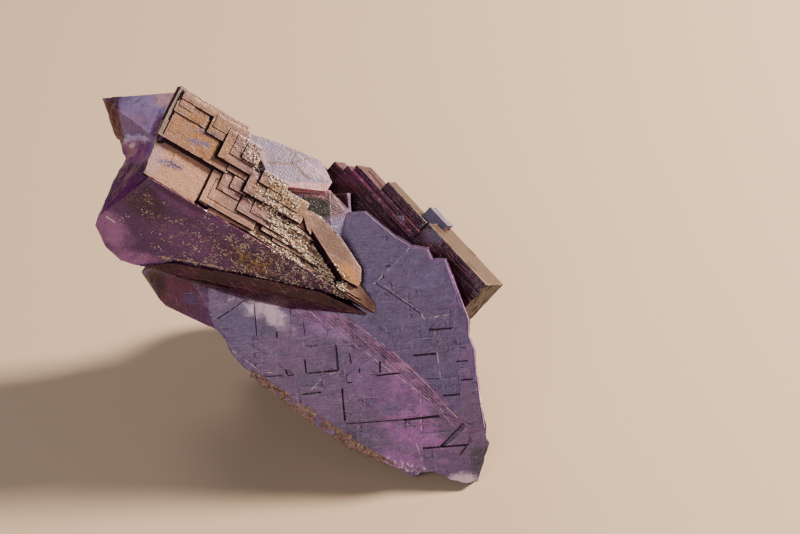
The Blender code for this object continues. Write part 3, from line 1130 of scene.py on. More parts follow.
    def add_relief_sides(
        self,
        outline: FaceOutline,
        relief: Relief,
        flat: list[np.ndarray],
        sides: list[tuple[int, int]],
    ) -> None:
        """Adds a relief's outline to a face's points and sides, a little uneven, where it has room.

        Args:
            outline: The face.
            relief: The relief.
            flat: The face's points so far. Updated.
            sides: The face's sides so far. Updated.
        """
        clear, wobble, run = 0.07, 0.02, 0.7
        if relief.height < 0.0:
            wobble = 0.008
        track = []
        for (u0, v0), (u1, v1) in zip(relief.outline, relief.outline[1:] + relief.outline[:1]):
            length = math.hypot(u1 - u0, v1 - v0)
            pieces = max(1, round(length / run))
            for step in range(pieces):
                share = step / pieces
                slip = [self.chance.uniform(-wobble, wobble) for _ in range(2)]
                track.append((u0 + (u1 - u0) * share + slip[0], v0 + (v1 - v0) * share + slip[1]))
        spots = np.array(track)
        usable = outline.holds(spots) & (outline.room(spots) > clear)
        numbers = []
        for spot, good in zip(spots, usable):
            numbers.append(len(flat) if good else None)
            if good:
                flat.append(spot)
        for index, (a, b) in enumerate(zip(numbers, numbers[1:] + numbers[:1])):
            if a is None or b is None:
                continue
            halfway = (spots[index] + spots[(index + 1) % len(spots)])[None, :] / 2.0
            if outline.holds(halfway)[0] and outline.room(halfway)[0] > clear / 2.0:
                sides.append((a, b))

    def ring_points(self, outline: FaceOutline) -> list[np.ndarray]:
        """Points just inside a face's sides, so that the painted highlight of worn edges and the painted
        shade at the feet of walls stay crisp.

        Args:
            outline: The face's outline.

        Returns:
            The points, in the face's two directions.
        """
        shortest = 2.0 * self.ring
        along = outline.ends - outline.starts
        lengths = np.hypot(along[:, 0], along[:, 1])
        inward = np.stack((-along[:, 1], along[:, 0]), axis=1) / np.maximum(lengths, 1e-9)[:, None]
        halfway = (outline.starts + outline.ends) / 2.0
        found = []
        for step in (self.ring, *self.foot_steps):
            sides = lengths > shortest
            if step > self.ring:
                sides = sides & (np.array(outline.hollow) > 0.0)
            middles = halfway[sides] + inward[sides] * step
            if len(middles):
                good = outline.holds(middles) & (outline.room(middles) > 0.8 * step)
                found += list(middles[good])
        return found

    def inner_points(self, outline: FaceOutline, spacing: float) -> list[np.ndarray]:
        """Points spread over a face's inside, in slightly uneven rows.

        Args:
            outline: The face.
            spacing: How far apart they are.

        Returns:
            The points.
        """
        low, high = outline.starts.min(axis=0), outline.starts.max(axis=0)
        row_gap = spacing * math.sqrt(3.0) / 2.0
        draws = np.random.default_rng(len(self.surface.points))
        rows = []
        for row in range(int((high[1] - low[1]) / row_gap) + 1):
            shift = spacing / 2.0 if row % 2 else 0.0
            across = np.arange(low[0] + shift, high[0], spacing)
            rows.append(np.stack((across, np.full(len(across), low[1] + row * row_gap)), axis=1))
        points = np.concatenate(rows) if rows else np.empty((0, 2))
        if not len(points):
            return []
        points = points + draws.uniform(-0.18, 0.18, points.shape) * spacing
        points = points[outline.holds(points)]
        if not len(points):
            return []
        return list(points[outline.room(points) > self.ring + 0.3 * spacing])

    @staticmethod
    def heights(points: np.ndarray, reliefs: Iterable[Relief]) -> np.ndarray:
        """How high the reliefs raise each point. A sunk groove cuts through every plate.

        Args:
            points: Points in the face's two directions.
            reliefs: The face's reliefs.

        Returns:
            A height for each point.
        """
        raised = np.zeros(len(points))
        cut = np.zeros(len(points))
        x, y = points[:, 0], points[:, 1]
        for relief in reliefs:
            inside = np.zeros(len(points), bool)
            corners = relief.outline
            for (x0, y0), (x1, y1) in zip(corners, corners[1:] + corners[:1]):
                if y0 != y1:
                    spans = (y0 > y) != (y1 > y)
                    inside ^= spans & (x < (x1 - x0) * (y - y0) / (y1 - y0) + x0)
            if relief.height < 0.0:
                cut = np.where(inside, relief.height, cut)
            else:
                raised = raised + np.where(inside, relief.height, 0.0)
        return np.where(cut < 0.0, cut, raised)

    def raise_faces(
        self,
        outline: FaceOutline,
        spots: np.ndarray,
        triangles: np.ndarray,
        kept: np.ndarray,
        heights: np.ndarray,
        shared: list[int | None],
    ) -> None:
        """Adds a face's triangles at their heights, with walls where the height changes.

        Args:
            outline: The face.
            spots: The triangles' corners in the face's two directions.
            triangles: Every triangle's corners.
            kept: Which triangles lie inside the face.
            heights: Every triangle's height.
            shared: For each corner on the face's sides, the number of the point it stands for.
        """
        face, surface = outline.face, self.surface
        levels: dict[int, set[float]] = defaultdict(set)
        beside: dict[tuple[int, int], float] = {}
        for number in kept:
            a, b, c = (int(n) for n in triangles[number])
            for p, q in ((a, b), (b, c), (c, a)):
                beside[(p, q)] = float(heights[number])
                levels[p].add(float(heights[number]))
        for p, q in list(beside):
            if (q, p) not in beside:
                levels[p].add(0.0)
                levels[q].add(0.0)
        made: dict[tuple[int, float], int] = {}
        feet = outline.shadow(spots, self.foot_reach)
        for corner, known in levels.items():
            for level in known:
                if shared[corner] is not None and level == 0.0:
                    made[(corner, level)] = shared[corner]
                    continue
                # A raised plate's top rim is marked worn and painted pale as a highlight; its foot, and the
                # face under tall walls, get painted shade.
                wear = min((level - min(known)) / FULL_STEP, 1.0) if min(known) >= 0.0 else 0.0
                cleft = max(min((max(known) - level) / FULL_STEP, 1.0), float(feet[corner]))
                point = outline.lifted(*spots[corner], level)
                made[(corner, level)] = surface.add_point(point, wear, cleft)
        for number in kept:
            level = float(heights[number])
            corners = [made[(int(n), level)] for n in triangles[number]]
            # Sunk faces get the near-black seam finish, painted shade inside the grooves.
            skin = Skin.SEAM if level < 0.0 else face.skin
            surface.add_face(corners, skin, face.normal)
        for (p, q), level in beside.items():
            other = beside.get((q, p), 0.0)
            if level == other or ((q, p) in beside and p > q):
                continue
            upward = sorted(h for h in levels[p] if min(level, other) <= h <= max(level, other))
            back = sorted(h for h in levels[q] if min(level, other) <= h <= max(level, other))
            down = upward[::-1] if level > other else upward
            up = back if level > other else back[::-1]
            ring = [made[(p, h)] for h in down] + [made[(q, h)] for h in up]
            low = min(level, other)
            # Walls down into a sunk groove get the near-black seam finish too, as painted shade.
            skin = Skin.SEAM if low < 0.0 else WALLS.get(face.skin, face.skin)
            surface.add_face(ring, skin, face.normal)

    def weather(self) -> None:
        """Pits the surface and wears its outward edges, always inwards."""
        surface = self.surface
        for number, pushes in enumerate(surface.pushes):
            if not pushes:
                continue
            point = surface.points[number]
            push = np.zeros(3)
            for normal, skin in pushes:
                depth, size = ROUGHNESS[skin]
                pits = noise.fractal(Vector(point / size), 0.9, 2.1, 3)
                push = push - normal * depth * min(max(0.5 + 0.7 * pits, 0.0), 1.0)
            push = push / len(pushes)
            if surface.wear[number] > 0.0 and len(pushes) > 1:
                outward = sum(normal for normal, _ in pushes)
                outward = outward / max(float(np.linalg.norm(outward)), 1e-9)
                nick = self.nick_depth * (0.35 + abs(noise.noise(Vector(point / 0.6))))
                chip = max(0.0, noise.noise(Vector(point / 1.9 + 31.0)) - 0.42) / 0.4
                push = push - outward * (nick + self.chip_depth * min(chip, 1.0))
            surface.points[number] = point + push

    def to_object(self) -> bpy.types.Object:
        """Turns the fine surface into a mesh object in metres.

        Returns:
            The object.
        """
        surface = self.surface
        used = sorted({number for face in surface.faces for number in face})
        place = {number: index for index, number in enumerate(used)}
        points = [surface.points[number] * METRES for number in used]
        mesh = bpy.data.meshes.new("fluorite_stone")
        faces = [[place[number] for number in face] for face in surface.faces]
        mesh.from_pydata([point.tolist() for point in points], [], faces)
        # The edge marks become point attributes: worn edges painted as highlights, and painted shade in
        # creases and under walls.
        for name, values in (("wear", surface.wear), ("cleft", surface.cleft)):
            marks = mesh.attributes.new(name, "FLOAT", "POINT")
            marks.data.foreach_set("value", [values[number] for number in used])
        mesh.polygons.foreach_set("material_index", [skin.value for skin in surface.skins])
        mesh.shade_smooth()
        mesh.set_sharp_from_angle(angle=math.radians(28.0))
        mesh.update()
        return add_to_scene("fluorite_stone", mesh)


@dataclass
class Grain:
    """One small solid to be scattered: where it sits, how large it is and its tint from 0 to 1."""

    middle: Vector
    radius: float
    tint: float


@dataclass
class Scatter:
    """Many small angular grains joined in one mesh."""

    name: str
    corners: int = 7
    seed: int = 3

    def build(self, grains: Iterable[Grain]) -> bpy.types.Object:
        """Makes the mesh.

        Args:
            grains: The grains.

        Returns:
            The new object.
        """
        chance = random.Random(self.seed)
        points, faces, tints = [], [], []
        for grain in grains:
            solid = bmesh.new()
            for _ in range(self.corners):
                away = Vector([chance.gauss(0.0, 1.0) for _ in range(3)]).normalized()
                solid.verts.new(grain.middle + grain.radius * chance.uniform(0.75, 1.0) * away)
            hull = bmesh.ops.convex_hull(solid, input=solid.verts)
            loose = [part for part in hull["geom_interior"] if isinstance(part, bmesh.types.BMVert)]
            bmesh.ops.delete(solid, geom=loose, context="VERTS")
            solid.verts.index_update()
            first = len(points)
            points += [vert.co * METRES for vert in solid.verts]
            tints += [grain.tint] * len(solid.verts)
            faces += [[first + vert.index for vert in face.verts] for face in solid.faces]
            solid.free()
        mesh = bpy.data.meshes.new(self.name)
        mesh.from_pydata([point[:] for point in points], [], faces)
        marks = mesh.attributes.new("tint", "FLOAT", "POINT")
        marks.data.foreach_set("value", tints)
        mesh.update()
        return add_to_scene(self.name, mesh)


@dataclass
class Ground:
    """Finds the stone's surface under a point of a crystal face."""

    tree: BVHTree
    reach: float = 3.0

    @classmethod
    def of(cls, node: bpy.types.Object) -> "Ground":
        """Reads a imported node.

        Args:
            node: The node's object.

        Returns:
            Its surface, ready to be searched.
        """
        solid = SolidSurface.of(node)
        return cls(BVHTree.FromPolygons(solid.points.tolist(), solid.triangles.tolist()))

    def under(self, axes: CrystalAxes, u: float, v: float, lowest: float) -> Vector | None:
        """The surface point under a place on a crystal's face.

        Args:
            axes: The crystal.
            u: The place along the face.
            v: The place up the face.
            lowest: The least height over the face's plane.

        Returns:
            The point, or nothing over a wall or beside the crystal.
        """
        out = axes.axis(2)
        spot, normal, _, _ = self.tree.ray_cast(axes.point(u, v, self.reach), -out, self.reach - lowest)
        return spot if spot is not None and normal.dot(out) > 0.999 else None


@dataclass
class Druse:
    """Tiny pale crystals that dust the dark slope and the stepped face above the tip."""

    ground: Ground
    slope_count: int = 2500
    band_count: int = 1500
    ledge_count: int = 220
    crest_count: int = 520
    sparkle_count: int = 26
    seed: int = 21
    crest: tuple[Pair, ...] = ((9.7, 9.9), (13.0, 8.7), (16.6, 7.5), (20.3, 6.6))
    sparkle: Pair = (10.5, 9.5)

    def build(self) -> bpy.types.Object:
        """Scatters the crystals.

        Returns:
            The object.
        """
        self.chance = random.Random(self.seed)
        grains = [*self.on_slope(), *self.on_band(), *self.on_ledge(), *self.on_crest()]
        return Scatter("druse_crystals", corners=7, seed=4).build(grains)

    def grow(self, axes: CrystalAxes, u: float, v: float, radius: Pair, gold: float) -> Iterator[Grain]:
        """Yields one crystal where the stone lies under a place.

        Args:
            axes: The crystal whose face it grows on.
            u: The place along that face.
            v: The place up that face.
            radius: Its least and greatest radius.
            gold: How likely it is golden.

        Yields:
            The crystal, if there is one.
        """
        spot = self.ground.under(axes, u, v, -1.0)
        size = self.chance.uniform(*radius)
        tint = self.tint(gold)
        if spot is not None:
            yield Grain(spot + axes.axis(2) * 0.2 * size, size, tint)

    def on_slope(self) -> Iterator[Grain]:
        """Yields crystals on the dark slope, in clouds that thicken towards the tip.

        Yields:
            Each crystal.
        """
        made = 0
        while made < self.slope_count:
            u, v = self.chance.uniform(0.5, 33.0), self.chance.uniform(-13.0, -0.25)
            floor = -13.6 + 0.36 * max(u - 6.0, 0.0) if u > 6.0 else -9.0
            cloud = noise.noise(Vector((u / 1.7, v / 1.0, 2.0)))
            cloud += 0.6 * noise.noise(Vector((u, v * 1.9, 7.0)) / 0.5)
            crowd = 0.15 + min(u, 26.0) / 40.0 + (0.2 if v > -3.0 and u > 14.0 else 0.0)
            clear_band = u < 9.0 and v > -2.2 - 0.12 * u
            bare = v < floor or clear_band or cloud < 0.36 - crowd * 0.5
            if bare or self.chance.random() > crowd + 0.25:
                continue
            made += 1
            gold = 0.8 if 15.5 < u < 22.5 and -4.6 < v < -2.4 and cloud > 0.25 else 0.0
            yield from self.grow(APRON, u, v, (0.05, 0.13), gold)

    def on_band(self) -> Iterator[Grain]:
        """Yields crystals on the stepped face, in streaks along its steps.

        Yields:
            Each crystal.
        """
        made = 0
        while made < self.band_count:
            u, v = self.chance.uniform(13.5, 31.5), self.chance.uniform(-0.9, 7.4)
            middle = 4.9 - 0.25 * (u - 13.5)
            half = 1.9 - 0.03 * u
            streak = noise.noise(Vector((u / 3.4, v / 0.3, 4.0)))
            streak += 0.4 * noise.noise(Vector((u, v, 1.0)) / 0.5)
            if not (abs(v - middle) < half or (v < 0.6 and u > 17.0)):
                continue
            if streak < 0.02 or self.chance.random() > 0.25 + 0.06 * (u - 13.5):
                continue
            made += 1
            yield from self.grow(STEPPED, u, v, (0.05, 0.19), 0.06)

    def on_ledge(self) -> Iterator[Grain]:
        """Yields crystals along the foot of the dark slope.

        Yields:
            Each crystal.
        """
        for _ in range(self.ledge_count):
            u = self.chance.uniform(8.0, 31.0)
            v = -10.6 + 0.43 * (u - 8.0) if u < 15.0 else -7.6 + 0.34 * (u - 15.0)
            v += self.chance.gauss(0.0, 0.12)
            yield from self.grow(APRON, u, v, (0.05, 0.13), 0.0)

    def on_crest(self) -> Iterator[Grain]:
        """Yields the sugary crest between the stepped face and the pale crystal, and one bright knot.

        Yields:
            Each crystal.
        """
        for _ in range(self.crest_count):
            place = self.chance.random() * (len(self.crest) - 1)
            start, end = (Vector(spot) for spot in self.crest[int(place) : int(place) + 2])
            spot = start.lerp(end, place % 1.0)
            u, v = spot.x + self.chance.gauss(0.0, 0.5), spot.y + self.chance.gauss(0.0, 0.45)
            yield from self.grow(STEPPED, u, v, (0.05, 0.20), 0.04)
        for _ in range(self.sparkle_count):
            u, v = (middle + self.chance.gauss(0.0, 0.42) for middle in self.sparkle)
            yield from self.grow(STEPPED, u, v, (0.06, 0.17), 0.0)

    def tint(self, gold: float) -> float:
        """A tint near 0 for white crystals and near 1 for golden ones."""
        low = 0.6 if self.chance.random() < gold else 0.0
        return low + 0.4 * self.chance.random()


@dataclass
class MatrixCrust:
    """A lumpy crust of brown matrix under the broad face's rim, with crumbs stuck to it."""

    top: float = -1.15
    reach: float = 1.35
    drop: float = 2.4
    step: float = 0.13
    around: int = 26
    crumb_count: int = 360
    seed: int = 13

    def __post_init__(self) -> None:
        """Lays out the rim line and the random draws."""
        self.chance = random.Random(self.seed)
        self.spots = [Vector(point) for point in MATRIX_LINE]

    def build(self) -> list[bpy.types.Object]:
        """Makes the crust and its crumbs."""
        return [self.crust(), Scatter("matrix_crumbs", corners=9, seed=8).build(self.crumbs())]

    def along(self, share: float) -> tuple[Vector, Vector]:
        """A point of the rim line and its outward direction.

        Args:
            share: From 0 at its first point to 1 at its last.

        Returns:
            The point and the direction, in the broad face's u and v.
        """
        place = min(max(share, 0.0), 1.0) * (len(self.spots) - 1)
        piece = min(int(place), len(self.spots) - 2)
        start, end = self.spots[piece], self.spots[piece + 1]
        heading = (end - start).normalized()
        return start.lerp(end, place - piece), Vector((heading.y, -heading.x))

    def swell(self, share: float) -> float:
        """How thick the crust is at a place along the rim, from 0 to 1."""
        swell = math.sin(math.pi * min(max(share, 0.0), 1.0)) ** 0.8
        return swell * (0.62 + 0.9 * abs(noise.noise(Vector((share * 7.0, 1.0, 0.0)))))

    def point(self, share: float, turn: float) -> Vector:
        """One point of the crust.

        Args:
            share: Where it is along the rim.
            turn: Where it is around the crust.

        Returns:
            The point, in millimetres.
        """
        spot, outward = self.along(share)
        swell = self.swell(share)
        aside = math.cos(turn) * (self.reach * swell + 0.12) - 0.35
        depth = self.top - self.drop * 0.5 * (1.0 - math.sin(turn)) * (0.3 + 0.7 * swell)
        base = BROAD.point(spot.x + outward.x * aside, spot.y + outward.y * aside, depth)
        lumps = 0.34 * noise.noise(base / 1.1) + 0.15 * noise.noise(base / 0.4)
        away = BROAD.matrix().to_3x3() @ Vector((outward.x, outward.y, math.sin(turn)))
        return base + away.normalized() * lumps * (0.4 + 0.6 * swell)

    def crust(self) -> bpy.types.Object:
        """Makes the crust itself, closed at both ends.

        Returns:
            The object.
        """
        length = sum((b - a).length for a, b in zip(self.spots, self.spots[1:]))
        rings = round(length / self.step)
        points = []
        for ring in range(rings + 1):
            turns = [math.tau * spoke / self.around for spoke in range(self.around)]
            points += [self.point(ring / rings, turn) * METRES for turn in turns]
        faces = []
        for ring in range(rings):
            for spoke in range(self.around):
                low, beside = ring * self.around + spoke, ring * self.around + (spoke + 1) % self.around
                faces.append((low, beside, beside + self.around, low + self.around))
        faces.append(tuple(range(self.around))[::-1])
        faces.append(tuple(rings * self.around + spoke for spoke in range(self.around)))
        mesh = bpy.data.meshes.new("matrix_crust")
        mesh.from_pydata([point[:] for point in points], [], faces)
        mesh.shade_smooth()
        mesh.set_sharp_from_angle(angle=math.radians(45.0))
        return add_to_scene("matrix_crust", mesh)

    def crumbs(self) -> Iterator[Grain]:
        """Yields crumbs over the crust.

        Yields:
            Each crumb.
        """
        for _ in range(self.crumb_count):
            share = self.chance.betavariate(1.5, 1.7)
            middle = self.point(share, self.chance.uniform(-0.9, 1.6))
            radius = self.chance.uniform(0.08, 0.3)
            if middle.z > radius + 0.1:
                yield Grain(middle, radius, self.chance.random())


class Graph:
    """Adds nodes to one shader tree, left to right in the order they are made."""

    column_width = 190
    rows = 6

    def __init__(self, tree: bpy.types.NodeTree) -> None:
        """Starts work on a tree.

        Args:
            tree: The tree.
        """
        self.tree = tree
        self.made = 0

    def add(self, kind: str, **settings: object) -> bpy.types.Node:
        """Adds a node and sets its properties.

        Args:
            kind: The node's type.
            **settings: Its properties.

        Returns:
            The node.
        """
        node = self.tree.nodes.new(kind)
        node.location = (self.column_width * (self.made // self.rows), -160 * (self.made % self.rows))
        self.made += 1
        for name, value in settings.items():
            setattr(node, name, value)
        return node

    def feed(self, socket: Socket, value: object) -> None:
        """Links a socket, or sets it to a plain value.

        Args:
            socket: The socket.
            value: A socket to link it to, or a plain value.
        """
        if isinstance(value, bpy.types.NodeSocket):
            self.tree.links.new(value, socket)
        elif isinstance(value, tuple) and socket.type == "RGBA":
            socket.default_value = (*value[:3], 1.0)
        else:
            socket.default_value = value

    def maths(self, operation: str, *values: object, clamp: bool = False) -> Socket:
        """A Math node's result.

        Args:
            operation: What it does.
            *values: Its inputs.
            clamp: Whether the result stays between 0 and 1.

        Returns:
            The result's socket.
        """
        node = self.add("ShaderNodeMath", operation=operation, use_clamp=clamp)
        for socket, value in zip(node.inputs, values):
            self.feed(socket, value)
        return node.outputs[0]

    def times(self, *values: object) -> Socket:
        """The product of two or more values, multiplied from left to right."""
        return reduce(lambda product, value: self.maths("MULTIPLY", product, value), values)

    def vector(self, operation: str, *values: object) -> Socket:
        """A Vector Math node's result: a number for a dot product or length, else a vector.

        Args:
            operation: What it does.
            *values: Its inputs.

        Returns:
            The result's socket.
        """
        node = self.add("ShaderNodeVectorMath", operation=operation)
        for socket, value in zip(node.inputs, values):
            self.feed(socket, value)
        return node.outputs["Value" if operation in ("DOT_PRODUCT", "LENGTH") else "Vector"]

    def join(self, parts: Sequence[Socket]) -> Socket:
        """Up to three numbers as a vector, made after them, which keeps big shaders light.

        Args:
            parts: The numbers.

        Returns:
            The vector's socket.
        """
        node = self.add("ShaderNodeCombineXYZ")
        for socket, value in zip(node.inputs, parts):
            self.feed(socket, value)
        return node.outputs[0]

    def fade(self, value: Socket, low: object, high: object) -> Socket:
        """A smooth step from 0 at low to 1 at high.

        Args:
            value: What is read.
            low: Where the step starts.
            high: Where it ends.

        Returns:
            The step's socket.
        """
        node = self.add("ShaderNodeMapRange", interpolation_type="SMOOTHSTEP")
        for name, given in (("Value", value), ("From Min", low), ("From Max", high)):
            self.feed(node.inputs[name], given)
        return node.outputs["Result"]

    def ramp(self, place: Socket, heading: tuple, low: float, high: float) -> Socket:
        """A smooth step along one direction, from 0 at low to 1 at high.

        Args:
            place: Where it is read.
            heading: The direction.
            low: Where the step starts.
            high: Where it ends.

        Returns:
            The step's socket.
        """
        return self.fade(self.vector("DOT_PRODUCT", place, heading), low, high)

    def blend(self, mask: object, under: object, over: object, mode: str = "MIX") -> Socket:
        """Lays one colour over another.

        Args:
            mask: How much of the upper colour shows.
            under: The lower colour.
            over: The upper colour.
            mode: How the two are mixed.

        Returns:
            The mixed colour's socket.
        """
        node = self.add("ShaderNodeMix", data_type="RGBA", blend_type=mode)
        for socket, value in zip((node.inputs[0], node.inputs[6], node.inputs[7]), (mask, under, over)):
            self.feed(socket, value)
        return node.outputs[2]

    def clouds(self, point: Socket, size: float, detail: float = 2.0, rough: float = 0.5) -> Socket:
        """Noise with lumps of a given size in millimetres.

        Args:
            point: Where it is read, in millimetres.
            size: The lumps' size.
            detail: How many finer layers it has.
            rough: How strong those are.

        Returns:
            The noise's socket, about 0.5 on average.
        """
        node = self.add("ShaderNodeTexNoise")
        settings = {"Vector": point, "Scale": 1.0 / size, "Detail": detail, "Roughness": rough}
        for name, value in settings.items():
            self.feed(node.inputs[name], value)
        return node.outputs[0]

    def use(self, group: bpy.types.NodeTree, **values: object) -> Socket:
        """Places a shared effect.

        Args:
            group: The effect's node group.
            **values: Its inputs.

        Returns:
            Its first output.
        """
        node = self.add("ShaderNodeGroup", node_tree=group)
        for name, value in values.items():
            self.feed(node.inputs[name], value)
        return node.outputs[0]


class Effect(Enum):
    """The shared effects, each a node group made once: its name, its inputs and its output."""

    PLACE = ("crystal place", "Point Corner Along Up Out", "Place")
    ZONE = ("soft zone", "Place Middle Across Upward Outward Feather Uneven", "Mask")
    # This effect paints worn edges pale, partly as a highlight, and creases dark as painted shade.
    WEAR = ("worn edge", "Mark Point Start", "Mask")
    LINES = ("growth lines", "Place Heading Gap Width Broken", "Mask")
    FLECKS = ("flecks", "Point Size Share", "Mask")
    DISTANCE = ("distance to line", "Place From To", "Distance")
    STROKE = ("soft stroke", "Distance Place Width Feather Uneven", "Mask")
    MOSAIC = ("growth mosaic", "Place Long Wide", "Value")
    GRAIN = ("stone grain", "Point Size Depth", "Grain")


# The effects' inputs and outputs that are vectors. All others are numbers.
VECTORS = frozenset(
    "Place Point Corner Along Up Out Middle Across Upward Outward Heading From To".split()
)
Given = dict[str, Socket]


class Effects:
    """Builds the shared node groups and hands them out.

    Each effect has a method of its own name. It fills in the group's graph from the inputs, which it
    is given by name, and returns the result.
    """

    def __init__(self) -> None:
        """Builds every group."""
        self.groups = {effect: self.build(effect) for effect in Effect}

    def __getitem__(self, effect: Effect) -> bpy.types.NodeTree:
        """The node group of an effect."""
        return self.groups[effect]

    def build(self, effect: Effect) -> bpy.types.NodeTree:
        """Makes the node group of an effect.

        Args:
            effect: The effect.

        Returns:
            The node group.
        """
        name, inputs, output = effect.value
        tree = bpy.data.node_groups.new(name, "ShaderNodeTree")
        for side, labels in (("INPUT", inputs.split()), ("OUTPUT", [output])):
            for label in labels:
                kind = "NodeSocketVector" if label in VECTORS else "NodeSocketFloat"
                tree.interface.new_socket(name=label, in_out=side, socket_type=kind)
        graph = Graph(tree)
        source = graph.add("NodeGroupInput")
        result = graph.add("NodeGroupOutput")
        given = {socket.name: socket for socket in source.outputs if socket.name}
        graph.feed(result.inputs[0], getattr(self, effect.name.lower())(graph, given))
        return tree

    def place(self, graph: Graph, given: Given) -> Socket:
        """A point in a crystal's own u, v, w.

        Args:
            graph: The group's graph.
            given: The group's inputs by name.

        Returns:
            The group's result.
        """
        away = graph.vector("SUBTRACT", given["Point"], given["Corner"])
        parts = [graph.vector("DOT_PRODUCT", away, given[axis]) for axis in ("Along", "Up", "Out")]
        return graph.join(parts)

    def zone(self, graph: Graph, given: Given) -> Socket:
        """A soft oval patch with an uneven rim, turned within the face.

        Args:
            graph: The group's graph.
            given: The group's inputs by name.

        Returns:
            The group's result.
        """
        away = graph.vector("SUBTRACT", given["Place"], given["Middle"])
        axes = ("Across", "Upward", "Outward")
        parts = [graph.vector("DOT_PRODUCT", away, given[axis]) for axis in axes]
        reach = graph.vector("LENGTH", graph.join(parts))
        lumps = graph.maths("SUBTRACT", graph.clouds(given["Place"], 2.2, 3.0, 0.6), 0.5)
        reach = graph.maths("MULTIPLY_ADD", lumps, given["Uneven"], reach)
        inner = graph.maths("SUBTRACT", 1.0, given["Feather"])
        return graph.maths("SUBTRACT", 1.0, graph.fade(reach, inner, 1.0))

    def wear(self, graph: Graph, given: Given) -> Socket:
        """Where an edge is marked pale as worn and lit, or dark with painted shade in a crease, broken up
        along its length.

        Args:
            graph: The group's graph.
            given: The group's inputs by name.

        Returns:
            The group's result.
        """
        worn = graph.fade(given["Mark"], given["Start"], 1.0)
        broken = graph.fade(graph.clouds(given["Point"], 1.1, 3.0, 0.6), 0.36, 0.56)
        return graph.maths("MULTIPLY", worn, broken, clamp=True)

    def lines(self, graph: Graph, given: Given) -> Socket:
        """Thin straight growth lines at uneven gaps, each broken off here and there.

        Args:
            graph: The group's graph.
            given: The group's inputs by name.

        Returns:
            The group's result.
        """
        drift = graph.maths("SUBTRACT", graph.clouds(given["Place"], 6.0, 1.0), 0.5)
        across = graph.vector("DOT_PRODUCT", given["Place"], given["Heading"])
        across = graph.maths("MULTIPLY_ADD", drift, 0.35, across)
        cells = graph.add("ShaderNodeTexVoronoi", voronoi_dimensions="1D", feature="DISTANCE_TO_EDGE")
        graph.feed(cells.inputs["W"], graph.maths("DIVIDE", across, given["Gap"]))
        graph.feed(cells.inputs["Scale"], 1.0)
        share = graph.maths("DIVIDE", given["Width"], given["Gap"])
        line = graph.maths("SUBTRACT", 1.0, graph.fade(cells.outputs["Distance"], 0.0, share))
        stretched = graph.vector("MULTIPLY", given["Place"], (0.45, 0.45, 0.45))
        gaps = graph.fade(graph.clouds(stretched, 1.0, 2.0, 0.6), given["Broken"], 0.72)
        return graph.maths("MULTIPLY", line, gaps, clamp=True)

    def flecks(self, graph: Graph, given: Given) -> Socket:
        """Small ragged flecks over a share of the surface.

        Args:
            graph: The group's graph.
            given: The group's inputs by name.

        Returns:
            The group's result.
        """
        scaled = graph.vector("DIVIDE", given["Point"], self.spread(graph, given["Size"]))
        spots = graph.clouds(scaled, 1.0, 2.5, 0.65)
        edge = graph.maths("SUBTRACT", 0.74, graph.times(given["Share"], 0.36))
        return graph.fade(spots, edge, graph.maths("ADD", edge, 0.05))

    def distance(self, graph: Graph, given: Given) -> Socket:
        """How far a place on a face is from a straight line between two others.

        Args:
            graph: The group's graph.
            given: The group's inputs by name.

        Returns:
            The group's result.
        """
        away = graph.vector("SUBTRACT", given["Place"], given["From"])
        along = graph.vector("SUBTRACT", given["To"], given["From"])
        reach = graph.vector("DOT_PRODUCT", away, along)
        share = graph.maths("DIVIDE", reach, graph.vector("DOT_PRODUCT", along, along), clamp=True)
        nearest = graph.vector("MULTIPLY", along, self.spread(graph, share))
        return graph.vector("LENGTH", graph.vector("SUBTRACT", away, nearest))

    def stroke(self, graph: Graph, given: Given) -> Socket:
        """A soft line of a given half width with an uneven rim.

        Args:
            graph: The group's graph.
            given: The group's inputs by name.

        Returns:
            The group's result.
        """
        lumps = graph.maths("SUBTRACT", graph.clouds(given["Place"], 0.8, 3.0, 0.6), 0.5)
        wander = graph.times(lumps, given["Uneven"], given["Width"])
        off = graph.maths("ADD", given["Distance"], wander)
        inner = graph.times(given["Width"], graph.maths("SUBTRACT", 1.0, given["Feather"]))
        return graph.maths("SUBTRACT", 1.0, graph.fade(off, inner, given["Width"]))

    def mosaic(self, graph: Graph, given: Given) -> Socket:
        """A chance value from 0 to 1 for each of many small oblongs laid in rows.

        Args:
            graph: The group's graph.
            given: The group's inputs by name.

        Returns:
            The group's result.
        """
        parts = graph.add("ShaderNodeSeparateXYZ")
        drift = graph.maths("SUBTRACT", graph.clouds(given["Place"], 3.0, 1.0), 0.5)
        graph.feed(parts.inputs[0], given["Place"])
        v = graph.maths("MULTIPLY_ADD", drift, 0.25, parts.outputs[1])
        u = graph.maths("MULTIPLY_ADD", drift, 0.25, parts.outputs[0])
        row = graph.maths("FLOOR", graph.maths("DIVIDE", v, given["Wide"]))
        shift = graph.add("ShaderNodeTexWhiteNoise", noise_dimensions="1D")
        graph.feed(shift.inputs["W"], row)
        moved = graph.maths("ADD", graph.maths("DIVIDE", u, given["Long"]), shift.outputs["Value"])
        cell = graph.join((graph.maths("FLOOR", moved), row))
        draw = graph.add("ShaderNodeTexWhiteNoise", noise_dimensions="2D")
        graph.feed(draw.inputs["Vector"], cell)
        return draw.outputs["Value"]

    def grain(self, graph: Graph, given: Given) -> Socket:
        """Fine grain for colour and bump, from -1 to 1.

        Args:
            graph: The group's graph.
            given: The group's inputs by name.

        Returns:
            The group's result.
        """
        scaled = graph.vector("DIVIDE", given["Point"], self.spread(graph, given["Size"]))
        lumps = graph.maths("SUBTRACT", graph.clouds(scaled, 1.0, 4.0, 0.62), 0.5)
        return graph.times(lumps, given["Depth"])

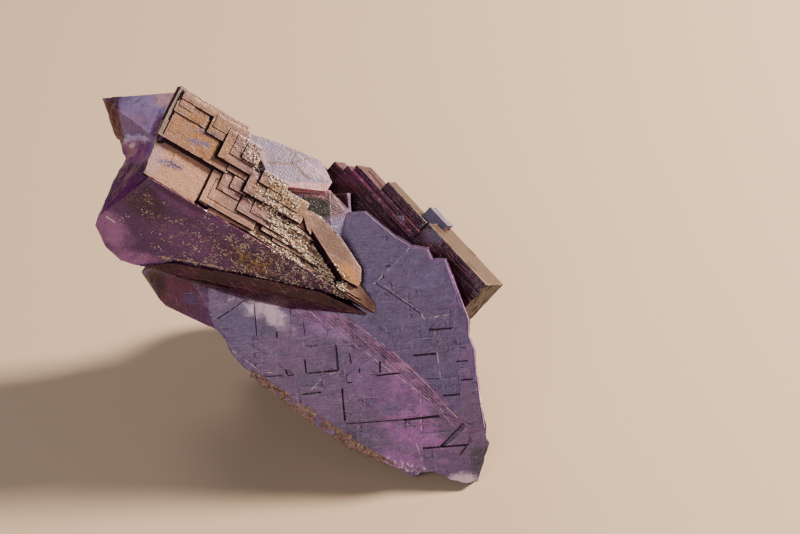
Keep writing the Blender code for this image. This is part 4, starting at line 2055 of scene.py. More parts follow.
    @staticmethod
    def grey(graph: Graph, value: Socket) -> Socket:
        """A number as a colour with three equal parts.

        Args:
            graph: The graph to add to.
            value: The number.

        Returns:
            The colour's socket.
        """
        join = graph.add("ShaderNodeCombineColor")
        for socket in join.inputs:
            graph.feed(socket, value)
        return join.outputs[0]

    @staticmethod
    def spread(graph: Graph, size: Socket) -> Socket:
        """A number as a vector with three equal parts."""
        return graph.join((size, size, size))


# Patches this deep show on every surface that the viewer sees at their place.
FAR = 90.0
# A crystal face's own directions.
ACROSS, UPWARD, OUTWARD, BACKWARD = (1.0, 0.0, 0.0), (0.0, 1.0, 0.0), (0.0, 0.0, 1.0), (0.0, 0.0, -1.0)


@dataclass(frozen=True)
class Zone:
    """A patch of colour on a crystal face: its middle, half sizes, turn and tone."""

    middle: Pair
    spread: Pair
    tone: Colour
    strength: float = 1.0
    turn: float = 0.0
    feather: float = 0.6
    uneven: float = 0.5
    depth: float = 4.0


@dataclass(frozen=True)
class Stroke:
    """A line of colour on a crystal face: the points it joins, its half width and tone.

    Other lines that look the same can go with it.
    """

    track: tuple[Pair, ...]
    width: float
    tone: Colour
    strength: float = 1.0
    feather: float = 0.5
    uneven: float = 0.6
    broken: float = 0.0
    others: tuple[tuple[Pair, ...], ...] = ()


class Dresser:
    """Works on one material: its surface point, its base colour so far and its shader."""

    def __init__(self, name: str, effects: Effects, base: Colour) -> None:
        """Starts a material.

        Args:
            name: The material's name.
            effects: The shared effects.
            base: Its first colour.
        """
        self.material = bpy.data.materials.new(name)
        self.material.use_nodes = True
        self.effects = effects
        self.graph = Graph(self.material.node_tree)
        self.shader = self.material.node_tree.nodes["Principled BSDF"]
        self.output = self.material.node_tree.nodes["Material Output"]
        source = self.graph.add("ShaderNodeTexCoord").outputs["Object"]
        to_millimetres = (1.0 / METRES, 1.0 / METRES, 1.0 / METRES)
        self.point = self.graph.vector("MULTIPLY", source, to_millimetres)
        self.colour: object = base
        self.height: Socket | None = None

    def place(self, axes: CrystalAxes) -> Socket:
        """The surface point in a crystal's own axes.

        Args:
            axes: The crystal's axes.

        Returns:
            The point's socket.
        """
        return self.graph.use(
            self.effects[Effect.PLACE],
            Point=self.point,
            Corner=axes.point(0.0, 0.0, 0.0)[:],
            Along=axes.axis(0)[:],
            Up=axes.axis(1)[:],
            Out=axes.axis(2)[:],
        )

    def lay(self, mask: object, tone: object, share: float = 1.0, mode: str = "MIX") -> None:
        """Lays a tone over the colour so far.

        Args:
            mask: Where it shows.
            tone: The tone.
            share: How much of it shows there.
            mode: How it is mixed in.
        """
        shown = mask if share == 1.0 else self.graph.times(mask, share)
        self.colour = self.graph.blend(shown, self.colour, tone, mode)

    def zones(
        self, place: Socket, zones: Iterable[Zone], grit: float = 0.0, within: object = 1.0
    ) -> None:
        """Lays patches of colour on a crystal face, in order.

        Args:
            place: The surface point in the crystal's axes.
            zones: The patches.
            grit: How much fine streaks break them up.
            within: Where they show at all.
        """
        streaks = None
        if grit > 0.0:
            stretched = self.graph.vector("MULTIPLY", place, (1.0, 2.2, 1.0))
            fine = self.graph.clouds(stretched, 0.9, 4.0, 0.7)
            around = 8.0 * grit
            streaks = self.graph.times(self.graph.maths("SUBTRACT", fine, 0.5), around)
        for zone in zones:
            mask = self.zone_mask(place, zone)
            if streaks is not None:
                rim = self.graph.times(mask, self.graph.maths("SUBTRACT", 1.0, mask))
                mask = self.graph.maths("MULTIPLY_ADD", rim, streaks, mask)
                mask = self.graph.maths("MINIMUM", self.graph.maths("MAXIMUM", mask, 0.0), 1.0)
            mask = self.graph.times(mask, zone.strength)
            self.lay(self.graph.times(mask, within), zone.tone)

    def strokes(self, place: Socket, strokes: Iterable[Stroke], within: object = 1.0) -> None:
        """Lays lines of colour on a crystal face, in order.

        Args:
            place: The surface point in the crystal's axes.
            strokes: The lines.
            within: Where they show at all.
        """
        for stroke in strokes:
            mask = self.graph.times(self.stroke_mask(place, stroke), stroke.strength)
            mask = self.graph.times(mask, within)
            if stroke.broken > 0.0:
                whole = self.graph.clouds(place, 1.1, 4.0, 0.7)
                kept = self.graph.fade(whole, stroke.broken, stroke.broken + 0.12)
                mask = self.graph.times(mask, kept)
            self.lay(mask, stroke.tone)

    def stroke_mask(self, place: Socket, stroke: Stroke) -> Socket:
        """How much of a line shows at each point.

        Args:
            place: The surface point on that crystal.
            stroke: The line.

        Returns:
            The mask's socket.
        """
        flat = self.graph.vector("MULTIPLY", place, (1.0, 1.0, 0.0))
        nearest = None
        tracks = (stroke.track, *stroke.others)
        for start, end in [pair for track in tracks for pair in zip(track, track[1:])]:
            ends = {"From": (*start, 0.0), "To": (*end, 0.0)}
            off = self.graph.use(self.effects[Effect.DISTANCE], Place=flat, **ends)
            nearest = off if nearest is None else self.graph.maths("MINIMUM", nearest, off)
        return self.graph.use(
            self.effects[Effect.STROKE],
            Distance=nearest,
            Place=place,
            Width=stroke.width,
            Feather=stroke.feather,
            Uneven=stroke.uneven,
        )

    def mosaic(self, place: Socket, long: float, wide: float) -> Socket:
        """Chance values for small oblong growth steps."""
        return self.graph.use(self.effects[Effect.MOSAIC], Place=place, Long=long, Wide=wide)

    def veils(self, place: Socket, light: Colour, dark: Colour, amount: float) -> None:
        """Lays cloudy light and dark veils and fine streaks, as inside a hazy crystal.

        Args:
            place: The surface point in the crystal's axes.
            light: The light veils' tone.
            dark: The dark veils' tone.
            amount: How strongly they show.
        """
        graph = self.graph
        for stretch, size, tone in (
            ((0.6, 1.5, 1.0), 2.6, light),
            ((1.4, 0.6, 1.0), 2.0, dark),
            ((0.5, 3.0, 1.0), 0.7, light),
            ((3.0, 0.6, 1.0), 0.6, dark),
            ((1.0, 1.0, 1.0), 0.35, light),
        ):
            veil = graph.clouds(graph.vector("MULTIPLY", place, stretch), size, 4.0, 0.65)
            self.lay(graph.fade(veil, 0.50, 0.74), tone, amount)

    def zone_mask(self, place: Socket, zone: Zone) -> Socket:
        """How much of a patch shows at each point.

        Args:
            place: The surface point on that crystal.
            zone: The patch.

        Returns:
            The mask's socket.
        """
        wide, high = zone.spread
        cosine, sine = math.cos(math.radians(zone.turn)), math.sin(math.radians(zone.turn))
        return self.graph.use(
            self.effects[Effect.ZONE],
            Place=place,
            Middle=(*zone.middle, 0.0),
            Across=(cosine / wide, sine / wide, 0.0),
            Upward=(-sine / high, cosine / high, 0.0),
            Outward=(0.0, 0.0, 1.0 / zone.depth),
            Feather=zone.feather,
            Uneven=zone.uneven,
        )

    def grain(self, size: float, depth: float) -> Socket:
        """Fine grain around zero."""
        return self.graph.use(self.effects[Effect.GRAIN], Point=self.point, Size=size, Depth=depth)

    def flecks(self, size: float, share: float, point: Socket | None = None) -> Socket:
        """Small flecks over a share of the surface.

        Args:
            size: Their size.
            share: The share.
            point: Where it is read, if not at the surface point.

        Returns:
            The mask's socket.
        """
        return self.graph.use(
            self.effects[Effect.FLECKS], Point=point or self.point, Size=size, Share=share
        )

    def lines(self, place: Socket, heading: tuple, gap: float, width: float, broken: float) -> Socket:
        """Growth lines across a heading.

        Args:
            place: The surface point on a crystal.
            heading: The heading.
            gap: The mean gap.
            width: Their half width.
            broken: How much of each is broken off.

        Returns:
            The mask's socket.
        """
        return self.graph.use(
            self.effects[Effect.LINES],
            Place=place,
            Heading=heading,
            Gap=gap,
            Width=width,
            Broken=broken,
        )

    def mark(self, name: str, start: float) -> Socket:
        """The edges that the mesh marks: worn ones, painted pale as highlights, and sunk ones, painted dark
        as shade.
        """
        source = self.graph.add("ShaderNodeAttribute", attribute_name=name).outputs["Fac"]
        return self.graph.use(self.effects[Effect.WEAR], Mark=source, Point=self.point, Start=start)

    def mottle(self, amount: float, *sizes: float) -> None:
        """Makes the colour uneven at several sizes.

        Args:
            amount: How strongly.
            *sizes: The sizes of the patches.
        """
        for size in sizes:
            light = self.graph.maths("ADD", self.grain(size, 2.0 * amount), 1.0)
            self.lay(1.0, Effects.grey(self.graph, light), mode="MULTIPLY")

    def raise_by(self, height: Socket, depth: float = 1.0) -> None:
        """Adds a height, made that many times as deep, to the bump."""
        added = height if depth == 1.0 else self.graph.times(height, depth)
        self.height = added if self.height is None else self.graph.maths("ADD", self.height, added)

    def roughness(self, middle: float, spread: float, size: float) -> None:
        """Sets an uneven roughness."""
        value = self.graph.maths("ADD", self.grain(size, 2.0 * spread), middle, clamp=True)
        self.graph.feed(self.shader.inputs["Roughness"], value)

    def finish(self, bump_strength: float) -> bpy.types.Material:
        """Joins the colour and bump to the shader.

        Args:
            bump_strength: How strong the bump is.

        Returns:
            The material.
        """
        self.graph.feed(self.shader.inputs["Base Color"], self.colour)
        if self.height is not None:
            bump = self.graph.add("ShaderNodeBump")
            bump.inputs["Strength"].default_value = bump_strength
            bump.inputs["Distance"].default_value = METRES
            self.graph.feed(bump.inputs["Height"], self.height)
            self.graph.feed(self.shader.inputs["Normal"], bump.outputs[0])
        return self.material


@dataclass(frozen=True)
class ClearStone:
    """What the clear fluorite under every violet surface does to light."""

    ior: float = 1.434
    tint: Colour = (0.48, 0.16, 0.60)
    density: float = 900.0

    def fill(self, dresser: Dresser, transmission: float) -> None:
        """Makes a material see-through.

        Args:
            dresser: The material.
            transmission: The share of light that goes in.
        """
        dresser.shader.inputs["IOR"].default_value = self.ior
        dresser.shader.inputs["Transmission Weight"].default_value = transmission
        absorb = dresser.graph.add("ShaderNodeVolumeAbsorption")
        absorb.inputs["Color"].default_value = (*self.tint, 1.0)
        absorb.inputs["Density"].default_value = self.density
        dresser.graph.feed(dresser.output.inputs["Volume"], absorb.outputs[0])


CLEAR = ClearStone()


@dataclass(frozen=True)
class Finish:
    """One finish of the stone: its material's name, main tone and how strong its bump is."""

    name: str
    base: Colour
    bump: float = 0.8

    def build(self, effects: Effects) -> bpy.types.Material:
        """Makes the material.

        Args:
            effects: The shared effects.

        Returns:
            The material.
        """
        dresser = Dresser(self.name, effects, self.base)
        self.paint(dresser)
        return dresser.finish(self.bump)

    def paint(self, dresser: Dresser) -> None:
        """Paints the material. Each finish has its own way."""
        raise NotImplementedError(f"{self.name} has no paint")


@dataclass(frozen=True)
class TanFilm(Finish):
    """Bronze and tan film on the growth faces that point up."""

    name: str = "tan_film"
    base: Colour = shade(138, 112, 104)
    ochre: Colour = shade(134, 108, 92)
    peach: Colour = shade(172, 140, 126)
    mauve: Colour = shade(118, 98, 106)
    ridge: Colour = shade(124, 112, 110)
    rust: Colour = shade(136, 98, 70)
    dusk: Colour = shade(76, 58, 62)
    bar: Colour = shade(76, 62, 54)
    blue_fleck: Colour = shade(92, 86, 108)
    # Pale tone of worn edges: partly truly worn, partly a painted highlight.
    rubbed_highlight: Colour = shade(204, 186, 176)
    dark: Colour = shade(36, 16, 26)
    seam: Colour = shade(84, 58, 70)
    pit: Colour = shade(104, 76, 62)
    white: Colour = shade(216, 206, 190)
    metal: float = 0.25

    def paint(self, dresser: Dresser) -> None:
        """Paints the material.

        Args:
            dresser: The material.
        """
        graph = dresser.graph
        place = dresser.place(STEPPED)
        self.lay_terraces(dresser, place)
        steps = dresser.mosaic(place, 1.7, 0.9)
        fine = dresser.mosaic(place, 0.6, 0.42)
        grown = dresser.zone_mask(place, Zone((13.0, 8.0), (12.0, 7.0), self.mauve, uneven=1.2))
        for cells, depth in ((steps, 0.34), (fine, 0.20)):
            tone = graph.maths("MULTIPLY_ADD", cells, depth, 1.0 - depth / 2.0)
            dresser.lay(grown, Effects.grey(graph, tone), mode="MULTIPLY")
        dresser.mottle(0.20, 4.5, 0.9)
        dresser.mottle(0.42, 0.22)
        self.lay_flecks(dresser, place)
        lines = dresser.lines(place, UPWARD, 1.5, 0.035, 0.46)
        across = dresser.lines(place, ACROSS, 1.9, 0.035, 0.50)
        both = graph.maths("MAXIMUM", lines, across)
        dresser.lay(both, self.dark, 0.55)
        dresser.strokes(place, self.fine_edges())
        crust = self.lay_druse(dresser, place)
        # Worn edges painted pale: partly truly worn, partly a painted highlight.
        dresser.lay(dresser.mark("wear", 0.2), self.rubbed_highlight, 0.85)
        # Painted shade in creases and at the feet of walls that face down the crystal, with a wandering
        # rim.
        foot = graph.add("ShaderNodeAttribute", attribute_name="cleft").outputs["Fac"]
        wander = graph.maths("ADD", foot, dresser.grain(0.5, 0.22))
        dresser.lay(graph.fade(wander, 0.56, 0.66), self.dark)
        dresser.roughness(0.40, 0.14, 1.2)
        dresser.raise_by(dresser.grain(0.25, 0.07))
        dresser.raise_by(both, -0.03)
        dresser.raise_by(graph.times(steps, grown), 0.06)
        dresser.raise_by(graph.times(fine, grown), 0.03)
        dresser.raise_by(crust, 0.08)
        dresser.shader.inputs["Metallic"].default_value = self.metal

    def fine_edges(self) -> Iterator[Stroke]:
        """Yields the hair-thin outlines of the thinnest growth plates: dark ones partly dark step walls and
        partly painted shade under them, and one pale painted highlight on a crest.

        Yields:
            Each outline.
        """
        for tone, strength, track in (
            (self.seam, 0.8, ((-0.62, 9.6), (0.48, 8.98), (2.01, 9.04))),
            (self.seam, 0.8, ((0.18, 11.59), (1.7, 11.19), (2.21, 10.71), (4.24, 10.86))),
            (self.seam, 1.0, ((7.11, 10.95), (7.91, 9.89), (9.45, 9.48), (9.81, 8.28), (10.63, 7.98))),
            (self.dark, 0.9, ((8.69, 4.24), (8.98, 3.4), (10.01, 3.2))),
            (self.rubbed_highlight, 0.7, ((9.17, 2.24), (9.47, 0.64))),
        ):
            yield Stroke(track, 0.09, tone, strength, uneven=0.5)

    def lay_terraces(self, dresser: Dresser, place: Socket) -> None:
        """Colours the terraces and the ridge, and the bars at the back.

        Args:
            dresser: The material.
            place: The surface point on the stepped crystal.
        """
        graph = dresser.graph
        dresser.zones(
            place,
            (
                Zone((4.0, 8.6), (7.0, 4.4), self.ochre, 0.95),
                Zone((4.0, 2.2), (6.9, 3.6), self.peach, 1.0, feather=0.3),
                Zone((-0.2, 2.2), (1.4, 3.6), shade(170, 148, 152), 0.7),
                Zone((13.5, 10.0), (7.0, 4.4), self.mauve, 0.85),
                Zone((14.0, 3.5), (6.0, 3.0), self.mauve, 0.4),
                Zone((18.0, 6.4), (5.4, 2.2), shade(118, 98, 82), 0.9),
                Zone((27.0, 4.6), (6.5, 2.4), shade(102, 84, 78), 0.95, turn=-28.0),
                Zone((31.2, 1.8), (2.8, 1.4), shade(158, 120, 92), 0.8, turn=-28.0),
                Zone((-1.35, 7.0), (0.5, 8.0), self.ridge, 1.0, feather=0.2, uneven=0.1),
                Zone((11.8, 6.2), (0.8, 2.4), self.dusk, 0.6, feather=0.9),
                Zone((13.4, 4.6), (1.4, 0.7), self.dusk, 0.6, feather=0.9),
            ),
            grit=0.7,
        )
        upper = dresser.zone_mask(place, Zone((3.6, 8.4), (6.4, 3.6), self.rust, uneven=1.0))
        rust = graph.fade(graph.clouds(place, 1.1, 3.0, 0.6), 0.47, 0.60)
        dresser.lay(graph.times(upper, rust), self.rust, 0.65)
        back = dresser.place(DARK)
        on_bars = graph.ramp(dresser.place(UPRIGHT), BACKWARD, -4.0, -2.0)
        on_tops = graph.times(on_bars, graph.ramp(back, UPWARD, -30.0, -20.0))
        dresser.lay(on_tops, self.bar)
        stripes = dresser.lines(back, OUTWARD, 0.9, 0.16, 0.3)
        dresser.lay(graph.times(stripes, on_tops), self.dark, 0.9)

    def lay_flecks(self, dresser: Dresser, place: Socket) -> None:
        """Lays the blue-violet flecks and the dark pits.

        Args:
            dresser: The material.
            place: The surface point on the stepped crystal.
        """
        graph = dresser.graph
        streaky = graph.vector("MULTIPLY", place, (1.0, 2.6, 1.0))
        patches = (((3.9, 7.2), (2.5, 0.5)), ((2.0, 2.9), (2.6, 0.75)), ((4.6, 8.9), (3.4, 0.5)))
        for middle, spread in patches:
            patch = dresser.zone_mask(place, Zone(middle, spread, self.blue_fleck, turn=12.0))
            spots = dresser.flecks(0.42, 0.85, streaky)
            dresser.lay(graph.times(patch, spots), self.blue_fleck)
        dresser.lay(dresser.flecks(0.34, 0.34), self.pit, 0.75)
        dresser.lay(dresser.flecks(0.22, 0.26), self.dark, 0.6)

    def lay_druse(self, dresser: Dresser, place: Socket) -> Socket:
        """Lays the white crust and the dark pits towards the tip.

        Args:
            dresser: The material.
            place: The surface point on the stepped crystal.

        Returns:
            Where the crust stands up.
        """
        graph = dresser.graph
        crowd = graph.maths(
            "MAXIMUM",
            dresser.stroke_mask(place, Stroke(((15.8, 5.6), (20.6, 3.8)), 1.1, self.white, uneven=1.8)),
            dresser.stroke_mask(place, Stroke(((18.0, 2.9), (31.0, -0.6)), 1.5, self.white, uneven=1.6)),
        )
        front = dresser.stroke_mask(place, Stroke(((16.5, 0.2), (27.0, -0.5)), 0.7, self.white, uneven=2.0))
        crowd = graph.maths("MAXIMUM", crowd, front)
        streaky = graph.vector("MULTIPLY", place, (0.4, 2.0, 1.0))
        pits = graph.times(crowd, dresser.flecks(0.4, 0.8, streaky))
        dresser.lay(pits, self.dark, 0.9)
        moved = graph.vector("ADD", streaky, (3.0, 5.0, 0.0))
        crust = graph.times(crowd, dresser.flecks(0.34, 0.55, moved))
        dresser.lay(crust, self.white)
        return crust


@dataclass(frozen=True)
class VioletFace(Finish):
    """Slate-violet satin faces, with pink and whitish light from within painted into their colour."""

    name: str = "violet_face"
    base: Colour = glassy(94, 70, 96)
    blue: Colour = glassy(82, 66, 98)
    violet: Colour = glassy(112, 82, 116)
    pink: Colour = glassy(148, 104, 144)
    # Whitish light shining through the stone from behind, painted into the colour.
    painted_glow: Colour = glassy(222, 200, 212)
    lavender: Colour = glassy(152, 124, 162)
    dark: Colour = glassy(38, 16, 36)
    line: Colour = glassy(160, 140, 162)
    brown: Colour = glassy(50, 38, 38)
    # Pale sugary tone, also used for a painted glint on the end face.
    sugar_and_glint: Colour = glassy(224, 204, 206)
    # Tone of the painted highlights along step crests.
    crest: Colour = glassy(196, 172, 178)
    patch: Colour = glassy(255, 192, 196)

    def paint(self, dresser: Dresser) -> None:
        """Paints the material.

        Args:
            dresser: The material.
        """
        graph = dresser.graph
        place = dresser.place(BROAD)
        dresser.veils(place, self.line, glassy(60, 38, 66), 0.26)
        self.lay_broad(dresser, place)
        self.lay_ledges(dresser, place)
        self.lay_others(dresser)
        self.lay_depths(dresser, place)
        dresser.mottle(0.18, 6.0, 1.6)
        dresser.mottle(0.34, 0.26)
        traces = self.lay_traces(dresser, place)
        face = graph.ramp(place, OUTWARD, -1.9, -1.3)
        # Painted highlights along the crests of steps.
        dresser.strokes(place, self.crest_highlights(), face)
        dresser.lay(dresser.flecks(0.2, 0.3), self.dark, 0.6)
        dresser.lay(dresser.flecks(0.17, 0.22), self.line, 0.4)
        # Worn edges painted pale, partly a painted highlight; creases painted dark as shade.
        dresser.lay(dresser.mark("wear", 0.3), self.line, 0.45)
        dresser.lay(dresser.mark("cleft", 0.4), self.dark, 0.7)
        dresser.roughness(0.34, 0.16, 1.1)
        dresser.raise_by(dresser.grain(0.35, 0.07))
        dresser.raise_by(dresser.mosaic(place, 2.1, 1.4), 0.035)
        dresser.raise_by(dresser.mosaic(place, 0.7, 0.5), 0.02)
        dresser.raise_by(traces, -0.04)
        CLEAR.fill(dresser, 0.18)

    def lay_depths(self, dresser: Dresser, place: Socket) -> None:
        """Lays the dark and light wisps that hang inside the glassy stone.

        Args:
            dresser: The material.
            place: The surface point on the broad crystal.
        """
        graph = dresser.graph
        for stretch, size, low, tone, share in (
            ((0.5, 1.3, 1.0), 1.7, 0.50, glassy(62, 46, 78), 0.50),
            ((1.3, 0.5, 1.0), 1.1, 0.52, glassy(58, 40, 66), 0.40),
            ((0.6, 1.8, 1.0), 1.3, 0.56, self.lavender, 0.45),
            ((2.6, 0.7, 1.0), 0.5, 0.56, self.line, 0.35),
        ):
            wisp = graph.clouds(graph.vector("MULTIPLY", place, stretch), size, 5.0, 0.68)
            dresser.lay(graph.fade(wisp, low, low + 0.16), tone, share)

    def crest_highlights(self) -> Iterator[Stroke]:
        """Yields the thin light lines along the crests of steps on the broad face, painted highlights where
        the crests catch the light.

        Yields:
            Each set of lines.
        """
        band = (
            (-3.84, -3.3), (-0.68, -5.6), (3.04, -8.87), (5.29, -11.4), (7.55, -14.0), (9.49, -16.9),
            (11.85, -19.6),
        )
        thin = (
            ((-8.1, -2.4), (-2.9, -6.9), (2.9, -12.0), (9.1, -17.6)),
            ((1.2, 0.75), (1.75, 1.1), (6.6, 5.3)),
            ((1.75, 1.1), (7.3, -3.7), (7.6, -4.6), (11.9, -4.3)),
            ((6.15, -14.4), (5.8, -19.9)),
            ((1.2, -18.6), (5.0, -22.0), (5.55, -25.0)),
            ((-19.4, -6.9), (-15.8, -10.1), (-12.5, -10.7)),
            ((-9.2, -13.4), (-7.0, -11.4), (-4.6, -10.9)),
            ((8.9, -6.4), (9.2, -13.0)),
        )
        yield Stroke(band, 0.08, self.crest, 0.9, uneven=1.8, broken=0.44, others=thin)
        right = ((12.6, 0.1), (13.5, -3.3), (14.1, -5.3), (13.9, -7.6), (14.4, -9.5), (14.4, -17.3))
        yield Stroke(right, 0.17, self.crest, 0.9, uneven=1.6, broken=0.42)

    def lay_broad(self, dresser: Dresser, place: Socket) -> None:
        """Colours the broad face.

        Args:
            dresser: The material.
            place: The surface point on the broad crystal.
        """
        raised = dresser.graph.ramp(place, OUTWARD, -0.3, -0.15)
        dresser.lay(raised, self.blue, 0.75)
        dresser.zones(
            place,
            (
                Zone((-18.0, -3.5), (5.5, 5.5), self.blue, 0.8),
                Zone((-9.0, -7.0), (8.0, 5.0), self.violet, 0.5),
                Zone((0.0, -13.0), (8.0, 5.0), self.violet, 0.7, turn=-40.0),
                Zone((-5.5, -4.6), (4.6, 2.4), self.lavender, 0.6, turn=-25.0),
                Zone((5.0, -19.5), (7.4, 4.4), self.pink, 0.9, turn=-35.0, uneven=1.6),
                Zone((4.6, -14.4), (6.0, 2.2), self.pink, 0.7, turn=-42.0, uneven=1.6),
                Zone((2.2, -24.0), (4.8, 2.2), self.pink, 0.8, turn=-15.0),
                Zone((9.5, -20.6), (2.6, 1.3), glassy(84, 64, 86), 0.85, turn=-10.0),
                Zone((9.3, -23.6), (3.0, 1.0), glassy(84, 64, 86), 0.7, turn=-10.0),
                Zone((1.8, -16.6), (2.4, 1.2), glassy(86, 76, 98), 0.7),
                Zone((-3.4, -20.0), (4.0, 1.6), glassy(66, 50, 70), 0.8, turn=-38.0),
                Zone((-8.5, -11.5), (4.0, 1.6), glassy(80, 66, 88), 0.7),
                # Whitish light shining through the crystal from behind, painted into the colour.
                Zone((-14.9, -1.4), (4.4, 2.0), self.painted_glow, 0.95, turn=-32.0, uneven=2.4),
                Zone((-11.6, -4.0), (2.6, 1.5), self.painted_glow, 0.15, turn=-50.0, uneven=2.2),
                Zone((-8.6, -2.2), (2.6, 1.1), self.lavender, 0.8, turn=-20.0),
                Zone((-15.0, -3.9), (2.4, 1.0), glassy(78, 66, 88), 0.8, turn=-35.0, uneven=1.8),
                Zone((-17.6, -1.0), (1.6, 0.7), glassy(92, 84, 108), 0.8, turn=-50.0, uneven=2.0),
                Zone((-6.0, -8.4), (3.2, 1.3), glassy(70, 58, 80), 0.6, turn=-20.0, uneven=2.0),
                Zone((2.0, -5.0), (4.0, 1.6), glassy(66, 54, 80), 0.6, turn=-40.0, uneven=2.0),
                Zone((8.6, 0.6), (3.4, 1.8), glassy(100, 84, 118), 0.6, turn=30.0, uneven=2.0),
                Zone((9.4, -8.2), (3.0, 1.6), glassy(70, 54, 78), 0.6, turn=-60.0, uneven=2.0),
                Zone((12.8, -11.0), (1.8, 3.4), glassy(124, 94, 122), 0.5, uneven=1.8),
                Zone((12.9, -17.5), (2.0, 4.5), glassy(108, 82, 98), 0.6, uneven=1.8),
                Zone((13.4, -24.6), (2.4, 3.2), self.brown, 0.95),
            ),
            grit=1.1,
        )
        wedge = Stroke(((10.8, -23.8), (12.4, -21.8)), 0.22, glassy(70, 34, 48), uneven=0.3)
        dresser.strokes(place, (wedge,))
        tip = dresser.zone_mask(place, Zone((10.8, -27.3), (2.9, 1.2), self.sugar_and_glint, uneven=1.4))
        rim = dresser.stroke_mask(place, Stroke(((-2.0, -22.8), (8.0, -27.2)), 0.9, self.sugar_and_glint, uneven=2.4))
        for patch, share in ((tip, 1.1), (rim, 0.6)):
            sugary = dresser.graph.times(patch, dresser.flecks(0.45, share))
            dresser.lay(sugary, self.sugar_and_glint, 0.85)

    def lay_ledges(self, dresser: Dresser, place: Socket) -> None:
        """Colours the low ledges that cross the broad face, with their many close dark lines.

        Args:
            dresser: The material.
            place: The surface point on the broad crystal.
        """
        graph = dresser.graph
        track = ((-9.4, -2.2), (-3.2, -4.5), (4.5, -11.6), (11.2, -19.6))
        band = dresser.stroke_mask(place, Stroke(track, 1.15, self.pink, feather=0.3))
        dresser.lay(band, glassy(132, 104, 134), 0.6)
        blush = graph.times(band, graph.fade(graph.clouds(place, 1.3, 3.0), 0.5, 0.62))
        dresser.lay(blush, glassy(172, 132, 158), 0.7)
        upper = dresser.lines(place, (0.36, 0.93, 0.0), 0.42, 0.10, 0.30)
        lower = dresser.lines(place, (0.74, 0.67, 0.0), 0.40, 0.10, 0.30)
        for lines in (upper, lower):
            dresser.lay(graph.times(band, lines), self.dark, 0.75)
        dresser.raise_by(graph.times(band, lower), -0.08)

    def lay_others(self, dresser: Dresser) -> None:
        """Colours the end face and the smoky crystal.

        Args:
            dresser: The material.
        """
        seen = dresser.place(UPRIGHT)
        front = dresser.graph.ramp(seen, OUTWARD, 4.0, 8.0)
        dresser.zones(
            seen,
            (
                Zone((-21.4, 23.0), (6.5, 6.0), glassy(178, 162, 196), 1.0, feather=0.3, depth=FAR),
                # A painted lavender sheen in the middle of the end face.
                Zone((-21.0, 22.6), (3.4, 1.8), glassy(172, 146, 172), 0.8, depth=FAR),
                Zone((-16.8, 25.8), (3.3, 2.1), self.patch, 1.0, feather=0.5, uneven=0.9, depth=FAR),
                Zone((-18.2, 21.4), (1.2, 3.0), glassy(84, 44, 78), 0.9, depth=FAR, turn=-20.0),
                Zone((-22.0, 18.6), (3.6, 1.7), glassy(110, 66, 104), 1.0, feather=0.3, depth=FAR),
                # A painted glint on the lower lobe of the end face.
                Zone((-22.2, 19.4), (0.8, 0.5), self.sugar_and_glint, 0.7, uneven=1.6, depth=FAR),
            ),
            grit=0.8,
            within=front,
        )
        dresser.zones(
            seen,
            (
                Zone((-17.6, -0.6), (5.6, 5.2), glassy(92, 62, 74), 0.95, depth=FAR),
                Zone((-21.2, 0.6), (2.6, 2.8), glassy(42, 32, 20), 0.95, depth=FAR),
                Zone((-15.6, -1.6), (1.7, 1.2), glassy(92, 84, 112), 0.8, depth=FAR),
            ),
            grit=0.8,
        )
        dresser.strokes(seen, (Stroke(((-25.7, 26.0), (-24.4, 20.4)), 1.1, glassy(66, 36, 40)),))

    def lay_traces(self, dresser: Dresser, place: Socket) -> Socket:
        """Draws fine dark cleavage traces with pale lines just beside them, partly real traces and partly
        painted shade and highlight of tiny steps.

        Args:
            dresser: The material.
            place: The surface point on the broad crystal.

        Returns:
            Where the traces are.
        """
        graph = dresser.graph
        # Dark traces: partly real cleavage traces, partly painted shade of tiny steps.
        along = dresser.lines(place, UPWARD, 1.5, 0.13, 0.50)
        up = dresser.lines(place, ACROSS, 1.8, 0.13, 0.52)
        traces = graph.maths("MAXIMUM", along, up)
        dresser.lay(traces, self.dark, 0.8)
        # Pale lines just beside the dark ones: a painted highlight on the lit side of each tiny step.
        beside = graph.vector("ADD", place, (0.12, -0.12, 0.0))
        bright = graph.maths(
            "MAXIMUM",
            dresser.lines(beside, UPWARD, 1.5, 0.11, 0.46),
            dresser.lines(beside, ACROSS, 1.2, 0.11, 0.50),
        )
        dresser.lay(bright, self.line, 0.65)
        slanted = dresser.lines(place, (0.64, 0.77, 0.0), 1.3, 0.12, 0.50)
        dresser.lay(slanted, self.dark, 0.4)
        return graph.maths("MAXIMUM", traces, slanted)


